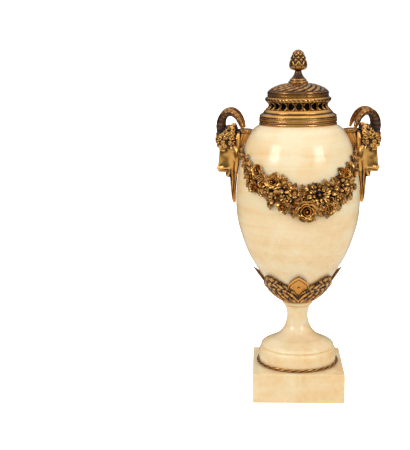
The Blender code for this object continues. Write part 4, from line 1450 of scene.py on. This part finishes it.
@dataclass
class RamHandles:
    """Ram's heads that look outwards from the shoulders, with ringed horns and a long beard."""

    stone: Stonework
    finish: bpy.types.Material
    grain: float = 0.48
    gap: float = 0.35
    head: Rows = (
        (257.6, 90.0, 3.4, 4.4), (259.0, 89.0, 6.6, 6.4), (262.5, 87.4, 9.0, 7.6),
        (267.0, 84.8, 10.2, 7.4), (276.0, 82.8, 10.8, 8.2), (285.0, 82.2, 11.2, 10.0),
        (290.5, 83.6, 11.6, 11.6), (298.0, 84.6, 12.0, 12.6), (305.0, 84.2, 11.2, 11.8),
        (311.5, 84.0, 7.8, 8.2), (313.5, 84.0, 4.0, 4.4),
    )
    jaw: Rows = (
        (251.8, 83.6, 1.8, 2.6), (254.0, 83.4, 2.9, 3.8), (258.0, 82.0, 3.9, 4.9), (270.0, 79.6, 5.0, 6.0),
    )
    beard: Rows = (
        (220.8, 76.2, 1.2, 1.6), (222.5, 76.2, 2.0, 2.5), (228.0, 76.5, 2.8, 3.4), (238.0, 77.0, 3.1, 3.7),
        (252.0, 76.6, 4.0, 4.6), (264.0, 76.0, 5.4, 5.8), (276.0, 75.0, 5.4, 5.8),
    )
    neck: Rows = (
        (284.0, 68.0, 4.0, 4.6), (290.0, 67.4, 6.0, 5.6), (297.0, 65.8, 8.2, 7.8), (302.0, 64.0, 8.8, 9.6),
        (305.0, 63.2, 8.8, 10.8),
    )
    rim: Rows = (
        (304.8, 63.2, 8.6, 11.0), (305.6, 62.9, 9.5, 12.0), (307.4, 62.6, 9.9, 12.5),
        (309.0, 62.6, 9.1, 11.8), (309.5, 62.6, 7.0, 9.0),
    )
    back_plate: Rows = (
        (251.8, 72.4, 1.6, 2.0), (254.0, 72.2, 2.6, 3.6), (262.0, 71.4, 3.4, 5.0), (276.0, 69.0, 3.4, 5.0),
        (290.0, 65.5, 4.5, 5.0),
    )
    tuft: Rows = (
        (304.0, 77.0, 5.0, 5.0), (310.0, 76.4, 5.0, 5.0), (314.5, 75.8, 3.4, 3.4), (316.8, 75.5, 1.6, 1.6),
    )
    horn: Rows = (
        (88.5, 5.0, 300.0, 5.7), (91.0, 8.5, 312.0, 5.6), (89.6, 12.5, 322.0, 5.1),
        (84.5, 16.5, 328.8, 4.6), (77.5, 20.5, 330.0, 4.1), (70.8, 24.5, 325.0, 3.6),
        (66.4, 27.8, 316.7, 3.0), (63.6, 30.0, 308.8, 1.4),
    )
    ear: Rows = (
        (78.0, 8.0, 294.5, 2.2), (76.6, 12.6, 290.5, 4.2), (75.0, 14.8, 284.0, 4.8),
        (74.2, 15.4, 277.5, 3.6), (74.0, 15.0, 272.3, 0.8),
    )
    rings: int = 13
    squareness: float = 2.6
    breadth: float = 1.12
    fold: Rows = (
        (70.2, 8.4, 307.0, 1.8), (71.4, 10.4, 298.0, 2.7), (72.0, 9.8, 286.0, 2.6), (72.6, 7.8, 272.0, 2.3),
        (74.0, 5.4, 259.0, 1.7),
    )
    eye: Triple = (89.6, 8.9, 288.0)
    eye_radii: Triple = (2.1, 1.9, 1.9)
    eyelid: Rows = (
        (85.4, 11.4, 289.2, 0.9), (88.6, 11.4, 290.8, 1.3), (92.6, 9.6, 290.4, 1.2), (95.0, 7.0, 288.6, 0.8),
    )
    eye_bag: Rows = ((86.2, 10.6, 285.9, 0.6), (89.4, 10.6, 285.0, 0.8), (93.4, 8.0, 285.8, 0.6))
    wool_levels: tuple[float, ...] = (290.6, 295.2, 299.8, 304.2, 308.2, 311.4)

    def skull(self) -> np.ndarray:
        """The head's rings: the brow hangs over sunk eyes, the nose is keeled, the mouth cut.

        Each feature is a bell round its place, times its depth, that moves the surface
        towards the ring's middle.

        Returns:
            The rings, from the muzzle to the crown.
        """
        rings = stack(self.head, 8, 72, self.squareness)
        wedge = step_up(rings[..., 0], 77.0, 17.0) * step_up(rings[..., 2], 293.0, -6.0)
        rings[..., 1] *= self.breadth * (1.0 - 0.6 * wedge)
        x, y, z = rings[..., 0], np.abs(rings[..., 1]), rings[..., 2]
        socket = 3.0 * bump(x, 89.5, 4.6) * bump(z, 285.8, 2.7) * bump(y, 10.0, 5.0)
        nostril = 1.6 * bump(x, 95.0, 1.9) * bump(z, 265.0, 1.6) * bump(y, 4.6, 1.9)
        mouth = 2.0 * bump(z, 260.4 + 0.10 * (92.0 - x), 0.9) * step_up(x, 97.0, -3.0)
        hollow = 0.4 * bump(z, 277.0, 5.0) * bump(x, 86.0, 4.0) * step_up(y, 0.0, 5.0)
        lip = -0.7 * bump(z, 263.0, 1.6) * step_up(x, 86.0, 6.0)
        keel = -0.8 * bump(y, 0.0, 2.2) * step_up(x, 88.0, 4.0) * bump(z, 276.0, 9.0)
        inward = np.stack([84.0 - x, -rings[..., 1], np.zeros_like(x)], axis=-1)
        inward /= np.maximum(np.linalg.norm(inward, axis=-1, keepdims=True), 1e-6)
        return rings + inward * (socket + nostril + mouth + hollow + lip + keel)[..., None]

    def curl(
        self, casting: Casting, centre: np.ndarray, outward: np.ndarray, size: float, hand: float,
    ) -> None:
        """Add a lock of wool: a tube on a spiral that climbs to its middle.

        Args:
            casting: what the lock is added to.
            centre: its middle, on the head.
            outward: the head's normal there.
            size: its radius.
            hand: 1 or -1, the way it winds.
        """
        share = np.linspace(0.0, 1.0, 22)
        wind = hand * (share * 1.3 * math.tau + 1.7 * centre[2])
        reach = size * (1.0 - 0.80 * share)
        side = np.cross(outward, (0.0, 0.0, 1.0))
        side /= max(np.linalg.norm(side), 1e-6)
        up = np.cross(side, outward)
        spine = centre + (
            side * (reach * np.cos(wind))[:, None] + up * (reach * np.sin(wind))[:, None]
            + outward * (0.1 + 0.8 * share)[:, None])
        along = np.gradient(spine, axis=0)
        along /= np.linalg.norm(along, axis=1, keepdims=True)
        across = np.cross(along, outward)
        turn = circle(8)
        thick = size * 0.40 * np.minimum(1.0, 0.4 + 3.0 * share)[:, None, None]
        ring = across[:, None] * np.cos(turn)[:, None] + outward * np.sin(turn)[:, None]
        casting.loft(spine[:, None] + ring * thick)

    def wool(self, casting: Casting) -> None:
        """Cover the brow, the crown and the back of the head with locks.

        They stand on the head's superellipses, level above level, and none on the nose or
        on the neck at the lowest level. Sines of their numbers make them uneven.

        Args:
            casting: the handle.
        """
        rows, power = flow(self.head, 8), 2.0 / self.squareness
        for level, height in enumerate(self.wool_levels):
            middle, depth, width = (
                float(np.interp(height, rows[:, 0], column)) for column in rows[:, 1:].T)
            count = 13 if height < 308.0 else 9
            for index in range(count):
                shift = 0.5 * (level % 2) + 0.22 * math.sin(5.3 * index + level)
                turn = math.tau * (index + shift) / count
                sway = math.sin(7.3 * index + 2.1 * level)
                ahead, aside = math.cos(turn), math.sin(turn)
                if level == 0 and abs(ahead) > 0.97:
                    continue
                round_x, round_y = (math.copysign(abs(wave) ** power, wave) for wave in (ahead, aside))
                centre = np.array([
                    middle + depth * round_x, self.breadth * width * round_y, height + 0.9 * sway])
                outward = np.array([ahead, aside * depth / width, 0.045 * (height - 297.0)])
                outward /= np.linalg.norm(outward)
                self.curl(casting, centre, outward, 2.9 + 0.5 * sway, 1.0 if index % 2 else -1.0)

    def features(self, casting: Casting) -> None:
        """Add eyes with lids, folds of the neck, drooping ears and ringed horns on both sides.

        Args:
            casting: the handle.
        """
        climb = np.linspace(-0.98, 0.98, 9)[:, None]
        reach, turn = np.sqrt(1.0 - climb**2), circle(14)
        ball = np.stack(np.broadcast_arrays(reach * np.cos(turn), reach * np.sin(turn), climb), axis=-1)
        horn = flow(self.horn, 26)
        share = np.linspace(0.0, 1.0, len(horn))[:, None]
        ridge = np.abs(np.sin(math.pi * self.rings * share**0.9))
        ear = flow(self.ear, 6)
        spread = np.linspace(-1.0, 1.0, 9) * ear[:, 3:]
        across = np.linspace(-1.0, 1.0, 9)[None, :]
        cup = 1.4 - 1.7 * across**2 - 1.1 * bump(across, 0.1, 0.16)
        sheet = [ear[:, None, :3] + np.stack(np.broadcast_arrays(
            spread, cup + lift, 0.12 * spread), axis=-1) for lift in (0.0, -1.5)]
        for hand in (-1.0, 1.0):
            mirror = np.array([1.0, hand, 1.0])
            casting.loft((ball * self.eye_radii + self.eye) * mirror)
            casting.loft(tube(flow(self.eyelid, 5), 10) * mirror)
            casting.loft(tube(flow(self.eye_bag, 5), 8) * mirror)
            casting.loft(tube(horn, 24, 0.965 + 0.05 * ridge) * mirror)
            casting.loft(tube(flow(self.fold, 6), 12) * mirror)
            casting.slab(sheet[0] * mirror, sheet[1] * mirror)

    def build(self) -> None:
        """Cast the right handle, then the left one as its mirror image."""
        turn = circle(40)
        beard, tuft = (flow(rows, steps)[:, :1] for rows, steps in ((self.beard, 8), (self.tuft, 5)))
        waves = 1.0 + 0.17 * np.cos(6.0 * turn + 0.9 * np.sin(beard * 0.21) + beard * 0.10)
        flutes = 0.95 + 0.06 * np.sqrt(np.abs(np.sin(6.0 * turn)))
        strands = 0.88 + 0.2 * np.abs(np.sin(4.0 * turn + tuft * 0.4))
        casting = Casting()
        casting.loft(self.skull())
        casting.loft(stack(self.jaw, 5, 24))
        casting.loft(stack(self.beard, 8, 40, 2.0, waves))
        casting.loft(stack(self.neck, 6, 40, 2.0, flutes))
        casting.loft(stack(self.rim, 4, 40))
        casting.loft(stack(self.back_plate, 6, 24, 3.2, 1.0 + 0.05 * np.cos(8.0 * circle(24))))
        casting.loft(stack(self.tuft, 5, 40, 2.0, strands))
        self.wool(casting)
        self.features(casting)
        casting.points = [to_size(points) for points in casting.points]
        right = casting.mesh_object("ram_handle_right")
        fuse(right, self.grain)
        self.clear_vessel(right.data)
        relief = weather(right.data, ((16, 0.30), (150, 1.6))) + self.tint(read_points(right.data))
        dress(right, self.finish, 180.0, "relief", relief)
        left = copy_turned(right, "ram_handle_left", np.diag([-1.0, 1.0, 1.0]))
        mount(right, "handle_right", Slot.BRONZE)
        mount(left, "handle_left", Slot.BRONZE)

    def clear_vessel(self, mesh: bpy.types.Mesh) -> None:
        """Press what would enter the marble back to the gap in front of its face.

        Args:
            mesh: the handle's mesh.
        """
        points = read_points(mesh)
        reach = np.hypot(points[:, 0], points[:, 1])
        limit = self.stone.radius(points[:, 2]) + self.gap
        scale = np.where(reach < limit, limit / reach, 1.0)
        points[:, :2] *= scale[:, None]
        write_points(mesh, points)

    def tint(self, points: np.ndarray) -> np.ndarray:
        """Tone the head: painted highlights on cheeks and brow, gold throat, brown horns, dark neck rim.

        Args:
            points: the handle's points.

        Returns:
            The change of tone at each.
        """
        x, y, z = points.T
        mirrored = np.stack([x, np.abs(y), z], axis=-1)
        gap = np.full(len(points), np.inf)
        for step in to_size(flow(self.horn, 6)[:, :3]):
            gap = np.minimum(gap, np.linalg.norm(mirrored - step, axis=1))
        horn = step_up(gap, 7.5, -1.5) * step_up(z, 306.0, 3.0)
        rim = step_up(z, 305.4, 1.0) * step_up(x, 72.5, -2.0) * (1.0 - horn)
        # painted highlight on the cheeks, strongest at their middle
        cheek_highlight = (0.6 + 0.4 * bump(z, 275.0, 7.0)) * step_up(z, 289.0, -3.0)
        cheek_highlight *= step_up(z, 262.0, 3.0) * step_up(x, 71.0, 2.0)
        # painted highlight along the brow
        brow = bump(z, 292.5, 2.2) * step_up(x, 80.0, 3.0)
        throat = step_up(x, 72.0, -2.0) * step_up(z, 276.0, 6.0) * (1.0 - horn)
        return 0.07 + 0.50 * cheek_highlight + 0.16 * brow + 0.18 * throat - 0.38 * horn - 0.56 * rim


# Studio


@dataclass(frozen=True)
class Softbox:
    """A rectangular light that faces the vase, its place in degrees and metres."""

    name: str
    azimuth: float
    elevation: float
    distance: float
    size: tuple[float, float]
    watts: float
    colour: Triple = (1.0, 1.0, 1.0)
    aim_height: float = 0.22

    def hang(self) -> None:
        """Add the light, turned to the vase's middle."""
        azimuth, elevation = math.radians(self.azimuth), math.radians(self.elevation)
        light = bpy.data.lights.new(self.name, "AREA")
        light.shape = "RECTANGLE"
        light.size, light.size_y = self.size
        light.energy, light.color = self.watts, self.colour
        obj = bpy.data.objects.new(self.name, light)
        bpy.context.scene.collection.objects.link(obj)
        level = self.distance * math.cos(elevation)
        obj.location = (
            level * math.sin(azimuth), -level * math.cos(azimuth),
            self.aim_height + self.distance * math.sin(elevation))
        obj.rotation_euler = Euler((math.pi / 2 - elevation, 0.0, azimuth))


@dataclass
class Studio:
    """Pale floor, two upright softboxes, an overhead one, a front card, and the camera."""

    camera_place: Triple = (-36.5, -1150.0, 409.0)
    camera_yaw: float = 3.55
    camera_pitch: float = 10.36
    camera_roll: float = -0.77
    camera_lens: float = 80.2
    sensor: float = 36.0
    paper: float = 0.9
    even_light: float = 0.92
    white_light: float = 1.05
    room_heights: tuple[float, ...] = (0.0, 0.30, 0.40, 0.60, 0.78, 1.0)
    room_tones: tuple[float, ...] = (0.85, 0.70, 0.06, 0.02, 0.70, 1.10)
    softboxes: tuple[Softbox, ...] = (
        Softbox("softbox_left", -52.0, 27.0, 1.7, (0.56, 0.50), 5.1, (0.92, 0.96, 1.0)),
        Softbox("softbox_right", 44.0, 27.0, 1.7, (0.56, 0.50), 4.6, (0.92, 0.96, 1.0)),
        Softbox("overhead", 0.0, 74.0, 1.6, (1.2, 1.2), 0.6),
        Softbox("front_card", 0.0, 4.0, 2.0, (1.4, 0.8), 0.6),
    )

    def floor(self) -> None:
        """A wide pale floor; the bronze mirrors the room and not the floor."""
        casting = Casting()
        x, y = np.meshgrid((-4000.0, 4000.0), (-3000.0, 6000.0))
        casting.slab(*(np.stack([x, y, np.full_like(x, level)], axis=-1) for level in (-0.2, -20.0)))
        obj = casting.mesh_object("floor")
        white = (1.0, 1.0, 1.0, 1.0)
        obj.data.materials.append(Graph(bpy.data.materials.new("floor_paper")).finish({
            "Base Color": (*(self.paper,) * 3, 1.0),
            "Roughness": 0.9,
            "Emission Color": white,
            "Emission Strength": 1.0,
        }))
        obj.visible_glossy = obj.visible_diffuse = False

    def world(self) -> None:
        """White behind the vase, an even light, and a dimmer room for the bronze to mirror.

        What is mirrored is dark round the horizon, pale below it as a table top and bright
        overhead, by the rise of the direction.
        """
        world = bpy.data.worlds.new("studio")
        bpy.context.scene.world = world
        graph = Graph(world)
        graph.tree.nodes.clear()
        rise = graph.height(graph.node("ShaderNodeTexCoord", {}, {}, "Generated"))
        span = graph.node("ShaderNodeMapRange", {}, {"Value": rise, "From Min": -1.0})
        tones = graph.ramp(span, self.room_heights, [(tone,) * 3 for tone in self.room_tones])
        plain = (1.0, 1.0, 1.0, 1.0)
        room, light, white = (
            graph.node("ShaderNodeBackground", {}, {"Color": colour, "Strength": strength})
            for colour, strength in ((tones, 1.0), (plain, self.even_light), (plain, self.white_light)))
        for ray, other in (("Is Glossy Ray", room), ("Is Camera Ray", white)):
            share = graph.node("ShaderNodeLightPath", {}, {}, ray)
            light = graph.node("ShaderNodeMixShader", {}, {0: share, 1: light, 2: other})
        graph.node("ShaderNodeOutputWorld", {}, {"Surface": light})

    def camera(self) -> None:
        """Stand the camera where the fit to the photograph puts it."""
        camera = bpy.data.cameras.new("camera")
        camera.lens, camera.sensor_width = self.camera_lens, self.sensor
        camera.clip_start, camera.clip_end = 0.05, 50.0
        obj = bpy.data.objects.new("camera", camera)
        bpy.context.scene.collection.objects.link(obj)
        obj.location = [value * MM for value in self.camera_place]
        pitch, yaw, roll = map(math.radians, (90.0 - self.camera_pitch, self.camera_yaw, self.camera_roll))
        aim = Euler((pitch, 0.0, yaw)).to_matrix()
        obj.rotation_euler = (aim @ Matrix.Rotation(roll, 3, "Z")).to_euler()
        bpy.context.scene.camera = obj
        bpy.context.scene.view_settings.view_transform = "Standard"

    def build(self) -> None:
        """Set up the floor, the world, the lights and the camera."""
        self.floor()
        self.world()
        for box in self.softboxes:
            box.hang()
        self.camera()


def main() -> None:
    """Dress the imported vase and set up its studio."""
    logging.basicConfig(level=logging.INFO, format="%(name)s: %(message)s")
    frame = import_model()
    marble = CreamMarble().build()
    bronze = GiltBronze().build()
    stone = Stonework(marble, frame["nodes"])
    stone.build()
    TurnedMounts(bronze, frame["nodes"]).build()
    Calyx(stone, bronze).build()
    Garland(stone, bronze).build()
    RamHandles(stone, bronze).build()
    Studio().build()


if __name__ == "__main__":
    main()
